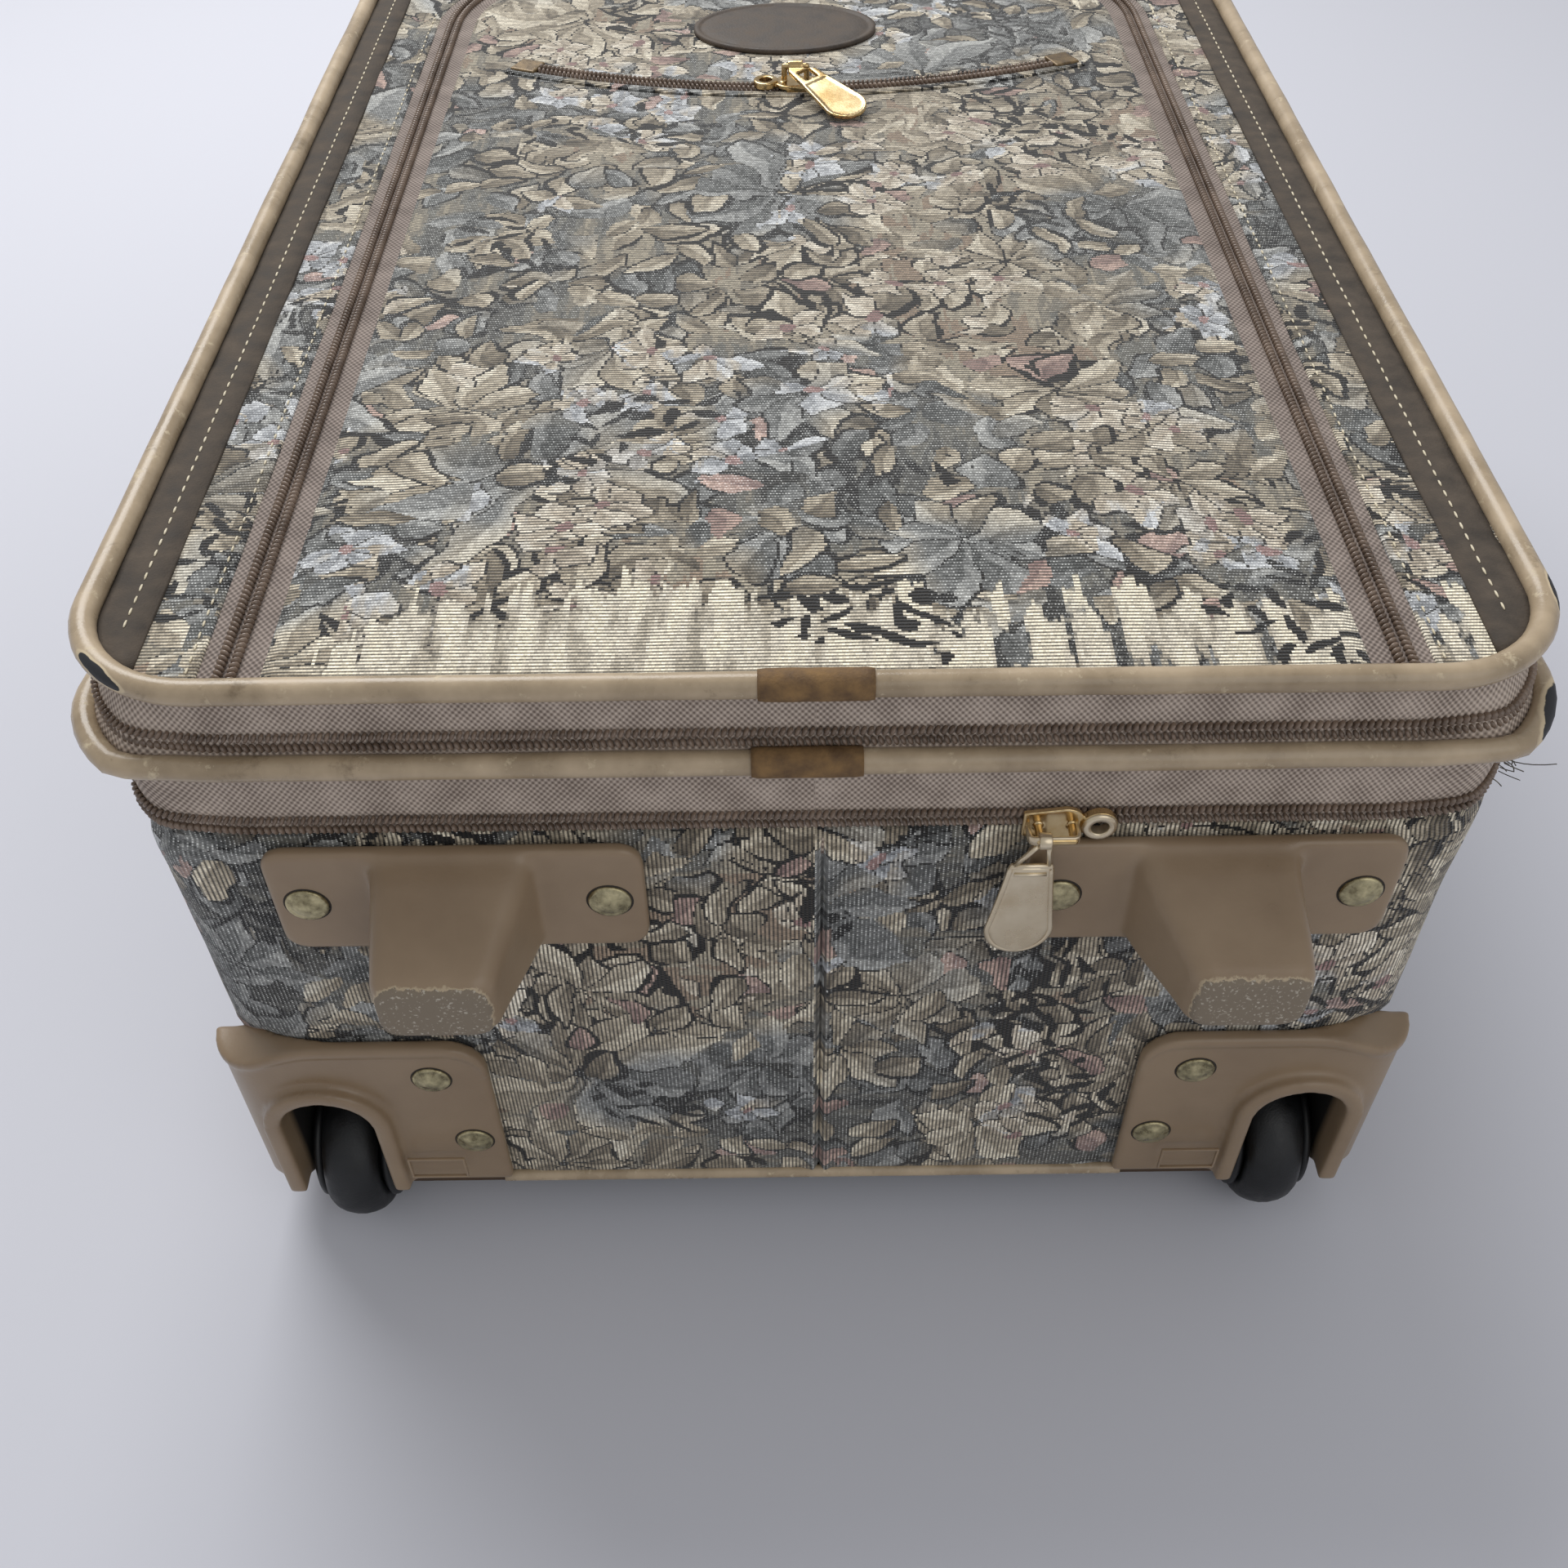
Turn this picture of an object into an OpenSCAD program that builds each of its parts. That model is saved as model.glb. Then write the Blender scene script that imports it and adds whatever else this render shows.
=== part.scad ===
// Soft-sided upright suitcase, modelled lying on its back.
// X runs across, Y from the wheel end to the handle end, Z up from the floor under the wheels.

/* [Case] */
// Width across the front piping, mm
case_width = 360; // [330:1:420]
// Length between the piping centre lines, mm
case_length = 504; // [450:1:640]
// Floor to the centre line of the front piping, mm
front_height = 242.5; // [236:0.5:290]
// Diameter of the two front pipings, mm
piping_diameter = 6.5; // [6:0.25:7.5]
// Outer corner radius of the front pipings, mm
piping_corner = 36; // [33:1:42]
// Distance between the two front pipings, mm
piping_spacing = 25; // [24:0.5:30]
// Diameter of the piping along the back edge, mm
back_piping_diameter = 4.2; // [3.6:0.2:4.6]
// How far the cloth walls lie inside the piping, mm
wall_inset = 4.5; // [4.5:0.25:6]
// Corner radius of the cloth walls, mm
wall_corner = 35; // [33:1:44]
// Thickness of the tub's walls, mm
wall = 3; // [2.5:0.5:4]
// Height of the back panel above the floor, mm
back_height = 23; // [19:0.5:24]
// Thickness of the cloth on the front panel, mm
cloth = 1.2; // [1:0.1:2]
// Thickness of the board behind the front panel, mm
board = 3; // [2:0.5:5]

/* [Zips] */
// Main zip below the front piping, mm
zip_drop = 47.5; // [45:0.5:56]
// Edge of the tub's cloth below the main zip, mm
cloth_drop = 6; // [6:0.5:9]
// Width of one closed chain, mm
chain_width = 6.2; // [5:0.2:7]
// Height of a chain above its tape, mm
chain_height = 2; // [1.5:0.1:2.5]
// Slit between the two halves of a chain, mm
chain_gap = 0.3; // [0.3:0.05:0.5]
// Thickness of a zip's tape, mm
tape = 1.3; // [1:0.1:1.6]
// Half the width of the pocket zips' visible tape, mm
tape_half = 9.5; // [8:0.5:12]
// Margin from the arched zip to the long sides, mm
arch_side = 42; // [38:1:60]
// Margin from the arched zip to the handle end, mm
arch_margin = 30; // [24:1:60]
// Corner radius of the arched zip, mm
arch_corner = 70; // [50:1:90]
// Lowest point of the small pocket's zip from the wheel end, mm
slip_y = 335; // [280:1:345]
// Radius of the small pocket's zip, mm
slip_radius = 252; // [230:1:320]
// Margin from the small pocket's chain to the arched zip, mm
slip_side = 39.5; // [36:0.5:60]
// Length of the small zip's end tabs, mm
end_tab = 10; // [8:0.5:12]

/* [Sliders] */
// Length of a slider's plate, mm
slider_length = 16; // [14:0.5:18]
// Width of a slider's plate, mm
slider_width = 11; // [10:0.5:13]
// Length of a pull tab below its bar, mm
tab_length = 38; // [28:1:40]
// Width of a pull tab, mm
tab_width = 16; // [12:0.5:18]
// Radius of the padlock eye, mm
eye_radius = 2.4; // [2:0.1:2.6]
// Main slider from the middle of the right foot, mm
main_slider_gap = 43; // [40:1:60]
// Expander slider from the long side, mm
expander_margin = 90; // [80:1:140]
// Arched zip's slider from the middle, mm
pocket_slider_x = 40; // [0:1:60]
// Clearance between a slider and its chain, mm
slider_clear = 0.4; // [0.3:0.05:0.6]

/* [Feet] */
// Width of a foot's plate, mm
foot_width = 98; // [80:1:104]
// Height of a foot's plate, mm
foot_height = 38; // [30:1:40]
// Distance from the piping line to a foot's end, mm
foot_reach = 36; // [28:1:44]
// Middle of a foot from the long side, mm
foot_margin = 82; // [70:1:86]
// Shift of both feet towards the right, mm
foot_shift = 5; // [0:0.5:6]
// Distance between a foot's rivets, mm
rivet_span = 79; // [66:1:86]
// Thickness of moulded plates on the walls, mm
plate = 4.2; // [3:0.2:5]

/* [Wheels] */
// Radius of a wheel, mm
wheel_radius = 26.5; // [24:0.5:28]
// Width of a tyre, mm
tyre_width = 18; // [15:0.5:21]
// Middle of a wheel from the long side, mm
wheel_margin = 31; // [28:0.5:34]
// Distance of the axle from the piping line, mm
axle_y = 18; // [16:0.5:24]
// Radius of the axle, mm
axle_radius = 3; // [2.5:0.25:4]
// Running clearance of a wheel on its axle, mm
axle_clear = 0.05; // [0.03:0.01:0.1]
// Half the width of the wheel's opening, mm
well_half = 14; // [13:0.5:15]
// Top of the wheel's opening above the floor, mm
well_top = 80; // [74:1:84]
// Width of a corner guard, mm
guard_width = 83; // [74:1:86]
// Depth of a corner guard along the long side, mm
guard_depth = 64; // [60:1:80]
// Fall of a guard's upper edge towards the corner, mm
guard_fall = 9; // [4:0.5:14]
// Height of a guard's tail on the long side, mm
guard_tail = 26; // [22:1:34]
// How far a guard's front edge ends above its bottom, mm
guard_nose = 11; // [6:0.5:14]
// Raised bead along a guard's upper edge, mm
guard_bead = 3.4; // [2:0.2:5]
// Upper rivet from the middle of the wheel, mm
upper_rivet = 35; // [28:1:40]
// Lower rivet from the middle of the wheel, mm
lower_rivet = 43; // [36:1:46]
// Upper rivet below the guard's top, mm
upper_drop = 15.5; // [12:0.5:18]
// Lower rivet below the guard's top, mm
lower_drop = 49.5; // [42:0.5:52]
// Rim round the wheel's opening, mm
well_rim = 5.5; // [4:0.5:7]
// Top of a corner guard above the floor, mm
guard_top = 103.5; // [98:0.5:110]

/* [Handles] */
// Distance of the handle's tubes from the middle, mm
tube_x = 70; // [64:1:76]
// Outer radius of a guide tube, mm
guide_radius = 6.5; // [6:0.25:7]
// Outer radius of a pull tube, mm
pull_radius = 5.2; // [4.5:0.1:5.3]
// Clearance between a pull tube and its guide, mm
tube_clear = 0.3; // [0.3:0.05:0.6]
// Wall of every tube, mm
tube_wall = 0.9; // [0.6:0.1:1.2]
// Start of the guide tubes beyond the piping line, mm
tube_start = 18; // [14:1:24]
// Depth of the bracket that holds the tubes, mm
bracket_depth = 26; // [20:1:32]
// Height of the handle's cup, mm
cup_height = 41; // [34:1:50]
// Width of the grip's recess, mm
recess_width = 106; // [90:1:110]
// Depth of the grip's recess, mm
recess_depth = 15; // [12:0.5:20]
// Depth of the pull grip, mm
grip_depth = 16; // [12:0.5:20]
// Height of the pull grip, mm
grip_height = 15; // [13:0.5:18]
// Middle of the carry handle above the floor, mm
carry_z = 125; // [100:1:150]
// Half the length of the carry handle, mm
carry_half = 88; // [70:1:110]
// Rise of the carry handle above its brackets, mm
carry_rise = 25; // [22:1:34]
// Width of the carry handle's strap, mm
carry_width = 26; // [20:1:32]

/* [Trim] */
// Diameter of a rivet's head, mm
rivet_diameter = 11; // [8:0.5:12]
// Height of a rivet's head, mm
rivet_h = 2; // [1.2:0.1:3]
// Diameter of a rivet's shank, mm
shank_diameter = 4; // [3:0.25:5]
// Length of the oval patch, mm
patch_length = 73; // [60:1:90]
// Width of the oval patch, mm
patch_width = 50; // [40:1:60]
// Thickness of the oval patch, mm
patch_thick = 1.6; // [1:0.1:3]
// Middle of the patch beyond the small zip's lowest point, mm
patch_rise = 58; // [50:1:80]
// Width of the bands along the long sides, mm
band_width = 14; // [10:1:18]
// Length of the sleeves over the piping's ends, mm
splice_length = 27; // [20:1:40]

/* [Hidden] */
$fn = 64;
piping_r = piping_diameter / 2;
back_piping_r = back_piping_diameter / 2;
mid_height = front_height - piping_spacing;
panel_top = front_height - 1.5;
board_under = panel_top - cloth - board;
zip_z = front_height - zip_drop;
cloth_top = zip_z - cloth_drop;
narrow_slider = chain_width + 3.6;
expander_z = mid_height + piping_r + narrow_slider / 2 + 0.35;
chain_half = chain_width / 2;
tape_inset = wall_inset + 1.5;
gusset_inset = tape_inset + tape;
face_lo = wall_inset - piping_r;
face_hi = case_length + piping_r - wall_inset;
tape_lo = tape_inset - piping_r;
tape_hi = case_length + piping_r - tape_inset;
wall_in = wall_inset + wall;
floor_in = back_height + wall;
plate_face = face_lo - plate;
guard_inset = wall_inset - plate + 0.3;
guard_low = back_height - plate;
guard_bend = 16;
guard_tip = 13;
guard_slope = 1.55;
wheel_x = case_width / 2 - wheel_margin;
guard_inner = case_width / 2 - guard_width;
foot_x = case_width / 2 - foot_margin;
main_slider_x = foot_shift + foot_x - main_slider_gap;
well_wall = 2.5;
hole_reach = 3 * (plate + wall);
well_back = axle_y + wheel_radius + 3;
arch_top = case_length - arch_margin;
expander_x = case_width / 2 - expander_margin;
arch_half = case_width / 2 - arch_side;
slip_cy = slip_y + slip_radius;
slip_half = asin((arch_half - slip_side) / slip_radius);
end_angle = end_tab / slip_radius * 180 / PI;
slip_tape_half = slip_half + (end_tab + 1.4) / slip_radius * 180 / PI;
bracket_end = tube_start + bracket_depth - 8;
tube_z = floor_in + guide_radius + 6;
lining_z = tube_z + guide_radius;
hinge_x = -(case_width / 2 - tape_inset + 1.6);
hinge_lo = 62;
hinge_hi = case_length - 62;
cup_low = floor_in + 3.5;
cup_high = cup_low + cup_height;
cup_half = tube_x + 17;
carry_foot = 2.5;
foot_z = cloth_top - foot_height / 2;
bar_z = chain_height + 7.2;
mid_y = (face_hi + carry_foot + carry_rise - foot_reach) / 2;
rivet_r = rivet_diameter / 2;
shank_r = shank_diameter / 2;
rivet_sphere = (rivet_r * rivet_r + rivet_h * rivet_h) / (2 * rivet_h);
tapestry = [0.55, 0.58, 0.56];
tan = [0.6, 0.5, 0.37];
taupe = [0.5, 0.46, 0.4];
bronze = [0.36, 0.27, 0.17];
gold = [0.72, 0.56, 0.26];
brown = [0.2, 0.13, 0.1];
black = [0.07, 0.07, 0.08];
steel = [0.72, 0.73, 0.75];
GUARD_RIVETS = [[wheel_x - upper_rivet, guard_top - upper_drop],
  [wheel_x - lower_rivet, guard_top - lower_drop]];
SIDE_RIVET = [guard_depth - 12, guard_low + guard_tail / 2];

// Puts the middle of the whole part's footprint on the origin.
module placed() {
  translate([0, -mid_y, 0]) children();
}

// A rounded rectangle about the origin.
module rounded(w, l, r) {
  square([w - 2 * r, l], center = true);
  square([w, l - 2 * r], center = true);
  for (sx = [-1, 1], sy = [-1, 1]) {
    translate([sx * (w / 2 - r), sy * (l / 2 - r)]) circle(r);
  }
}

// The case's outline, set in from the outside of the piping.
module plan(inset, r) {
  translate([0, case_length / 2])
    rounded(case_width - 2 * inset, case_length + piping_diameter - 2 * inset, r);
}

// The same outline with the corner radius that the cloth walls have at that depth.
module wall_plan(inset) {
  plan(inset, wall_corner + wall_inset - inset);
}

// An upright wall between two insets.
module ring(outer, inner, z0, z1) {
  translate([0, 0, z0]) linear_extrude(z1 - z0) difference() {
    wall_plan(outer);
    wall_plan(inner);
  }
}

// A closed loop of round piping.
module cord(inset, z, r, bend) {
  hx = case_width / 2 - inset;
  y0 = inset - piping_r;
  y1 = case_length + piping_r - inset;
  for (x = [-hx, hx]) {
    translate([x, y0 + bend, z]) rotate([-90, 0, 0]) cylinder(r = r, h = y1 - y0 - 2 * bend);
  }
  for (y = [y0, y1]) {
    translate([bend - hx, y, z]) rotate([0, 90, 0]) cylinder(r = r, h = 2 * (hx - bend));
  }
  for (c = [[1, 1, 0], [-1, 1, 90], [-1, -1, 180], [1, -1, 270]]) {
    translate([c[0] * (hx - bend), c[1] > 0 ? y1 - bend : y0 + bend, z]) rotate(c[2])
      rotate_extrude(angle = 90) translate([bend, 0]) circle(r);
  }
}

// Piping with the flat edge that is sewn into the seam.
module piping(z, flange_lo, flange_hi) {
  cord(piping_r, z, piping_r, piping_corner - piping_r);
  translate([0, 0, flange_lo]) linear_extrude(flange_hi - flange_lo) difference() {
    plan(piping_r, piping_corner - piping_r);
    wall_plan(gusset_inset);
  }
}

// A short sleeve round the piping in the middle of the wheel end.
module splice(z, x) {
  translate([x - splice_length / 2, 0, z]) rotate([0, 90, 0]) difference() {
    cylinder(r = piping_r + 0.8, h = splice_length);
    translate([0, 0, -1]) cylinder(r = piping_r, h = splice_length + 2);
    translate([-20, -0.1, -1]) cube([40, 10, splice_length + 2]);
  }
}

// One half of the chain that runs round the case, without the hinged side.
module half_chain(z0, z1) {
  difference() {
    ring(tape_inset - chain_height, tape_inset, z0, z1);
    translate([-case_width / 2 - 5, -20, z0 - 1])
      cube([50, case_length + 40, z1 - z0 + 2]);
  }
}

// The arched pocket zip's outline, grown outwards.
module arch(grow) {
  r = arch_corner + grow;
  w = arch_half + grow;
  t = arch_top + grow;
  translate([-w, -30]) square([2 * w, t - r + 30]);
  translate([r - w, -30]) square([2 * (w - r), t + 30]);
  for (sx = [-1, 1]) translate([sx * (w - r), t - r]) circle(r);
}

// A band along the arched zip.
module arch_band(outer, inner, z0, z1) {
  translate([0, 0, z0]) linear_extrude(z1 - z0) intersection() {
    difference() {
      arch(outer);
      arch(inner);
    }
    wall_plan(gusset_inset);
  }
}

// A band along the small pocket's curved zip, between two radii and two angles.
module slip_band(r0, r1, a0, a1, z0, z1) {
  translate([0, slip_cy, z0]) linear_extrude(z1 - z0) intersection() {
    difference() {
      circle(r1, $fn = 128);
      circle(r0, $fn = 128);
    }
    polygon([[0, 0], 2 * r1 * [sin(a0), -cos(a0)], 2 * r1 * [sin((a0 + a1) / 2), -cos((a0 + a1) / 2)],
      2 * r1 * [sin(a1), -cos(a1)]]);
  }
}

// A domed rivet whose head stands on z = 0 and whose shank goes down.
module rivet(depth) {
  intersection() {
    translate([0, 0, rivet_h - rivet_sphere]) sphere(rivet_sphere);
    cylinder(r = rivet_r + 1, h = rivet_h + 1);
  }
  translate([0, 0, -depth]) cylinder(r = shank_r, h = depth + 0.5);
}

// A zip slider on a chain along X: a plate, the bar for its tab, and lips beside the chain.
module slider(width, upper_lip) {
  plate_z = chain_height + slider_clear;
  post = 4.2;
  nose = (slider_length - width) / 2;
  translate([0, 0, plate_z]) linear_extrude(1.5) union() {
    translate([nose, 0]) circle(width / 2);
    polygon([[nose, width / 2], [-slider_length / 2, width / 2 - 1.4],
      [-slider_length / 2, 1.4 - width / 2], [nose, -width / 2]]);
  }
  for (s = upper_lip ? [-1, 1] : [-1]) {
    translate([-slider_length / 2 + 3.5, s * (width / 2 - 1) - 0.7, slider_clear])
      cube([slider_length - 8, 1.4, chain_height + 1]);
  }
  for (s = [-1, 1]) {
    translate([s * post, 0, plate_z + 1]) cylinder(r = 1.1, h = bar_z - plate_z - 1);
    translate([s * post, 0, bar_z]) sphere(1.1);
  }
  translate([-post, 0, bar_z]) rotate([0, 90, 0]) cylinder(r = 1.1, h = 2 * post);
  translate([slider_length / 2 + eye_radius + 0.8, 0, plate_z - 0.2]) difference() {
    cylinder(r = eye_radius + 2.2, h = 2.4);
    translate([0, 0, -1]) cylinder(r = eye_radius, h = 4);
  }
}

// A pull tab's teardrop from its wide loop down, shrunk all round for the recessed face.
module teardrop(shrink) {
  low = tab_width / 2 - tab_length;
  translate([0, low]) circle(tab_width / 2 - shrink);
  polygon([[-4.6 + shrink, -2.4 - shrink], [4.6 - shrink, -2.4 - shrink], [5.4 - shrink, -11],
    [tab_width / 2 - shrink, low], [shrink - tab_width / 2, low], [-5.4 + shrink, -11]]);
}

// A pull tab on a slider's bar, pointing to -Y from the bar along X.
module tab(skew, droop) {
  translate([0, 0, bar_z]) rotate([droop, 0, 0]) difference() {
    union() {
      translate([-2.8, 0, 0]) rotate([0, 90, 0]) cylinder(r = 2.2, h = 5.6);
      translate([0, 0, -0.75]) linear_extrude(1.5) difference() {
        union() {
          rotate(skew) teardrop(0);
          translate([-2.6, -4.4]) square([5.2, 4]);
        }
        rotate(skew) translate([-2.7, -10.5]) square([5.4, 6]);
        translate([-9, -2]) square([6.1, 8]);
        translate([2.9, -2]) square([6.1, 8]);
      }
    }
    translate([-5, 0, 0]) rotate([0, 90, 0]) cylinder(r = 1.4, h = 10);
    translate([0, 0, 0.4]) rotate(skew) linear_extrude(1) intersection() {
      teardrop(0.9);
      translate([-tab_width, -2 * tab_length]) square([2 * tab_width, 2 * tab_length - 12.5]);
    }
  }
}

// Where each slider's chain lies: on the wheel end, the handle end and the front panel.
module on_wheel_end(x, z) {
  translate([x, tape_lo, z]) rotate([90, 0, 0]) children();
}
module on_handle_end(x, z) {
  translate([x, tape_hi, z]) rotate([90, 0, 180]) children();
}
module on_panel(x, y) {
  translate([x, y, panel_top - cloth + tape / 2]) children();
}

// The wheel's opening seen from the end, with a round top.
module well_arch(grow, low) {
  translate([wheel_x - well_half - grow, low])
    square([2 * (well_half + grow), well_top - well_half - low]);
  translate([wheel_x, well_top - well_half]) circle(well_half + grow);
}

// The right wheel's well as a block, for what it passes through.
module well_block(grow) {
  translate([0, well_back + well_wall + grow, 0]) rotate([90, 0, 0])
    linear_extrude(well_back + well_wall + grow + 40) well_arch(well_wall + grow, -5);
}
module both_wells(grow) {
  well_block(grow);
  mirror([1, 0, 0]) well_block(grow);
}

// Holes through the wheel end and sides for every rivet there.
module wall_holes() {
  for (s = [-1, 1], k = [-1, 1]) {
    translate([foot_shift + s * foot_x + k * rivet_span / 2, face_lo - hole_reach, foot_z])
      rotate([-90, 0, 0]) cylinder(r = shank_r, h = 2 * hole_reach);
  }
  for (s = [-1, 1], p = GUARD_RIVETS) {
    translate([s * p[0], face_lo - hole_reach, p[1]]) rotate([-90, 0, 0])
      cylinder(r = shank_r, h = 2 * hole_reach);
  }
  for (s = [-1, 1]) {
    translate([s * (case_width / 2 + hole_reach / 2), SIDE_RIVET[0], SIDE_RIVET[1]])
      rotate([0, -s * 90, 0]) cylinder(r = shank_r, h = 2 * hole_reach);
  }
  for (s = [-1, 1], z = [-18.5, 18.5]) {
    translate([s * (carry_half - 3.5), face_hi + hole_reach, carry_z + z]) rotate([90, 0, 0])
      cylinder(r = shank_r, h = 2 * hole_reach);
  }
  for (s = [-1, 1]) {
    translate([s * (cup_half - 6), face_hi + hole_reach, cup_high - 8]) rotate([90, 0, 0])
      cylinder(r = shank_r, h = 2 * hole_reach);
  }
}

// Tub

module back_panel() {
  color(black) placed() difference() {
    translate([0, 0, back_height]) linear_extrude(wall) wall_plan(wall_inset);
    both_wells(0.1);
  }
}

module body_wall() {
  color(tapestry) placed() difference() {
    ring(wall_inset, wall_in, floor_in + 1.2, cloth_top);
    both_wells(0.1);
    wall_holes();
    translate([-recess_width / 2 - 3, face_hi - 8, cup_low + 1])
      cube([recess_width + 6, 16, cup_height - 2]);
    for (s = [-1, 1]) {
      translate([s * tube_x, face_hi - 8, tube_z]) rotate([-90, 0, 0])
        cylinder(r = guide_radius + 0.1, h = 16);
    }
  }
}

module back_piping() {
  color(tan) placed() difference() {
    union() {
      cord(wall_inset - back_piping_r - 0.1, floor_in + 0.6, back_piping_r, wall_corner);
      translate([0, 0, floor_in]) linear_extrude(1.2) difference() {
        plan(wall_inset - back_piping_r - 0.1, wall_corner);
        wall_plan(wall_in);
      }
    }
    for (s = [-1, 1]) {
      translate([s * (guard_inner + 150 - 0.1), guard_depth / 2, floor_in])
        cube([300, guard_depth + 0.2, 20], center = true);
      translate([s * (guard_inner + 150 - 0.1), -40, floor_in]) cube([300, 100, 20], center = true);
    }
    translate([0, face_hi + 10, floor_in + 13.5]) cube([2 * cup_half + 0.2, 20, 20], center = true);
  }
}

module lining_floor() {
  color(black) placed() difference() {
    translate([0, 0, lining_z]) linear_extrude(2) wall_plan(wall_in);
    both_wells(0.3);
    translate([-recess_width / 2 - 7, face_hi - recess_depth - 5, lining_z - 1])
      cube([recess_width + 14, recess_depth + 15, 10]);
    translate([-cup_half - 4, face_lo, lining_z - 1])
      cube([2 * cup_half + 8, bracket_end + 0.5 - face_lo, 10]);
  }
}

module zip_tape_lower() {
  color(taupe) placed() {
    ring(tape_inset, wall_in + tape, cloth_top, zip_z - chain_gap / 2);
    ring(wall_in, wall_in + tape, cloth_top - 16, cloth_top);
  }
}

module zip_coil_lower() {
  color(bronze) placed() half_chain(zip_z - chain_half, zip_z - chain_gap / 2);
}

module hinge_band() {
  color(brown) placed() {
    translate([hinge_x, hinge_lo, zip_z]) rotate([-90, 0, 0]) cylinder(r = 1.2, h = hinge_hi - hinge_lo);
    translate([-case_width / 2 + tape_inset - 1.4, hinge_lo, cloth_top])
      cube([1.4, hinge_hi - hinge_lo, cloth_drop - 0.6]);
  }
}

// Feet, guards and wheels

module foot(x) {
  tip_z = foot_z - 4.5;
  root = [42, foot_height - 2];
  tip = [31, 21];
  placed() difference() {
    union() {
      translate([x, face_lo, foot_z]) rotate([90, 0, 0]) linear_extrude(plate)
        rounded(foot_width, foot_height, 6);
      hull() {
        translate([x, plate_face + 1, foot_z]) rotate([90, 0, 0]) linear_extrude(1.2)
          rounded(root[0], root[1], 5);
        translate([x, plate_face - 7, foot_z - 0.5]) rotate([90, 0, 0]) linear_extrude(1)
          rounded(root[0] - 4, root[1] - 4, 5);
        translate([x, 4 - foot_reach, tip_z]) rotate([90, 0, 0]) linear_extrude(1)
          rounded(tip[0], tip[1], 5);
      }
      translate([x, 3.5 - foot_reach, tip_z]) rotate([90, 0, 0]) linear_extrude(3.5)
        rounded(tip[0] - 2, tip[1] - 2, 5);
    }
    wall_holes();
  }
}

module foot_left() {
  color(tan) foot(foot_shift - foot_x);
}

module foot_right() {
  color(tan) foot(foot_shift + foot_x);
}

module foot_rivets() {
  color(gold) placed() for (s = [-1, 1], k = [-1, 1]) {
    translate([foot_shift + s * foot_x + k * rivet_span / 2, plate_face, foot_z]) rotate([90, 0, 0])
      rivet(plate + wall);
  }
}

module guard_profile() {
  polygon(concat([[guard_inner, 0], [guard_inner, guard_top - 12]],
    [for (a = [15 : 15 : 90]) [guard_inner + 12 - 12 * cos(a), guard_top - 12 + 12 * sin(a)]],
    [for (t = [0 : 0.1 : 1]) [wheel_x - 3 + t * (case_width / 2 - wheel_x + 3),
      guard_top - guard_fall * t * t * (3 - 2 * t)]],
    [[case_width / 2 + 5, guard_top - guard_fall], [case_width / 2 + 5, 0]]));
}

// A guard seen from the long side: it drops behind the corner and ends in a low tail.
module guard_side() {
  tail_z = guard_low + guard_tail;
  tip_z = guard_top - guard_fall;
  rotate([90, 0, 90]) linear_extrude(case_width) polygon([[-40, 0], [guard_depth, 0], [guard_depth, tail_z],
    [guard_tip + (tip_z - tail_z) / guard_slope, tail_z], [guard_tip, tip_z],
    [guard_tip, guard_top + 10], [-40, guard_top + 10]]);
}

// What is cut away under a guard's front edge, so that it clears the floor when the case is tilted.
module guard_relief() {
  nose_z = guard_low + guard_nose;
  rotate([90, 0, 90]) linear_extrude(case_width) polygon([[-60, -10], [0.5 + guard_nose, -10],
    [0.5 + guard_nose, guard_low], [0.5, nose_z], [-60, nose_z]]);
}

module guard() {
  difference() {
    union() {
      intersection() {
        translate([0, 0, guard_low]) linear_extrude(guard_top + 5 - guard_low) difference() {
          plan(guard_inset, guard_bend);
          wall_plan(wall_inset);
        }
        translate([0, guard_depth, 0]) rotate([90, 0, 0]) linear_extrude(guard_depth + 40)
          guard_profile();
        guard_side();
      }
      intersection() {
        translate([0, 0, guard_low]) linear_extrude(plate) plan(guard_inset, guard_bend);
        translate([guard_inner, -20, 0]) cube([200, guard_depth + 20, 50]);
      }
      intersection() {
        translate([0, 0, guard_low]) linear_extrude(guard_top + 5 - guard_low) difference() {
          plan(guard_inset - 0.9, guard_bend + 0.9);
          wall_plan(wall_inset);
        }
        translate([0, guard_depth, 0]) rotate([90, 0, 0]) linear_extrude(guard_depth + 40)
          difference() {
          guard_profile();
          translate([0, -guard_bead]) guard_profile();
        }
        guard_side();
      }
      translate([0, face_lo, 0]) rotate([90, 0, 0]) linear_extrude(plate + 4)
        well_arch(well_rim, guard_low);
      translate([0, well_back + well_wall, 0]) rotate([90, 0, 0])
        linear_extrude(well_back + well_wall - face_lo) well_arch(well_wall, guard_low);
    }
    translate([0, well_back, 0]) rotate([90, 0, 0]) linear_extrude(well_back + 40) well_arch(0, -5);
    translate([wheel_x - 40, axle_y, wheel_radius]) rotate([0, 90, 0])
      cylinder(r = axle_radius, h = 40 + well_half + well_wall - 0.5);
    guard_relief();
    wall_holes();
    translate([wheel_x - 39, plate_face - 1, back_height + 14.5]) cube([17.5, 1.8, 9]);
  }
}

module guard_right() {
  color(tan) placed() guard();
}

module guard_left() {
  color(tan) placed() mirror([1, 0, 0]) guard();
}

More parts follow.
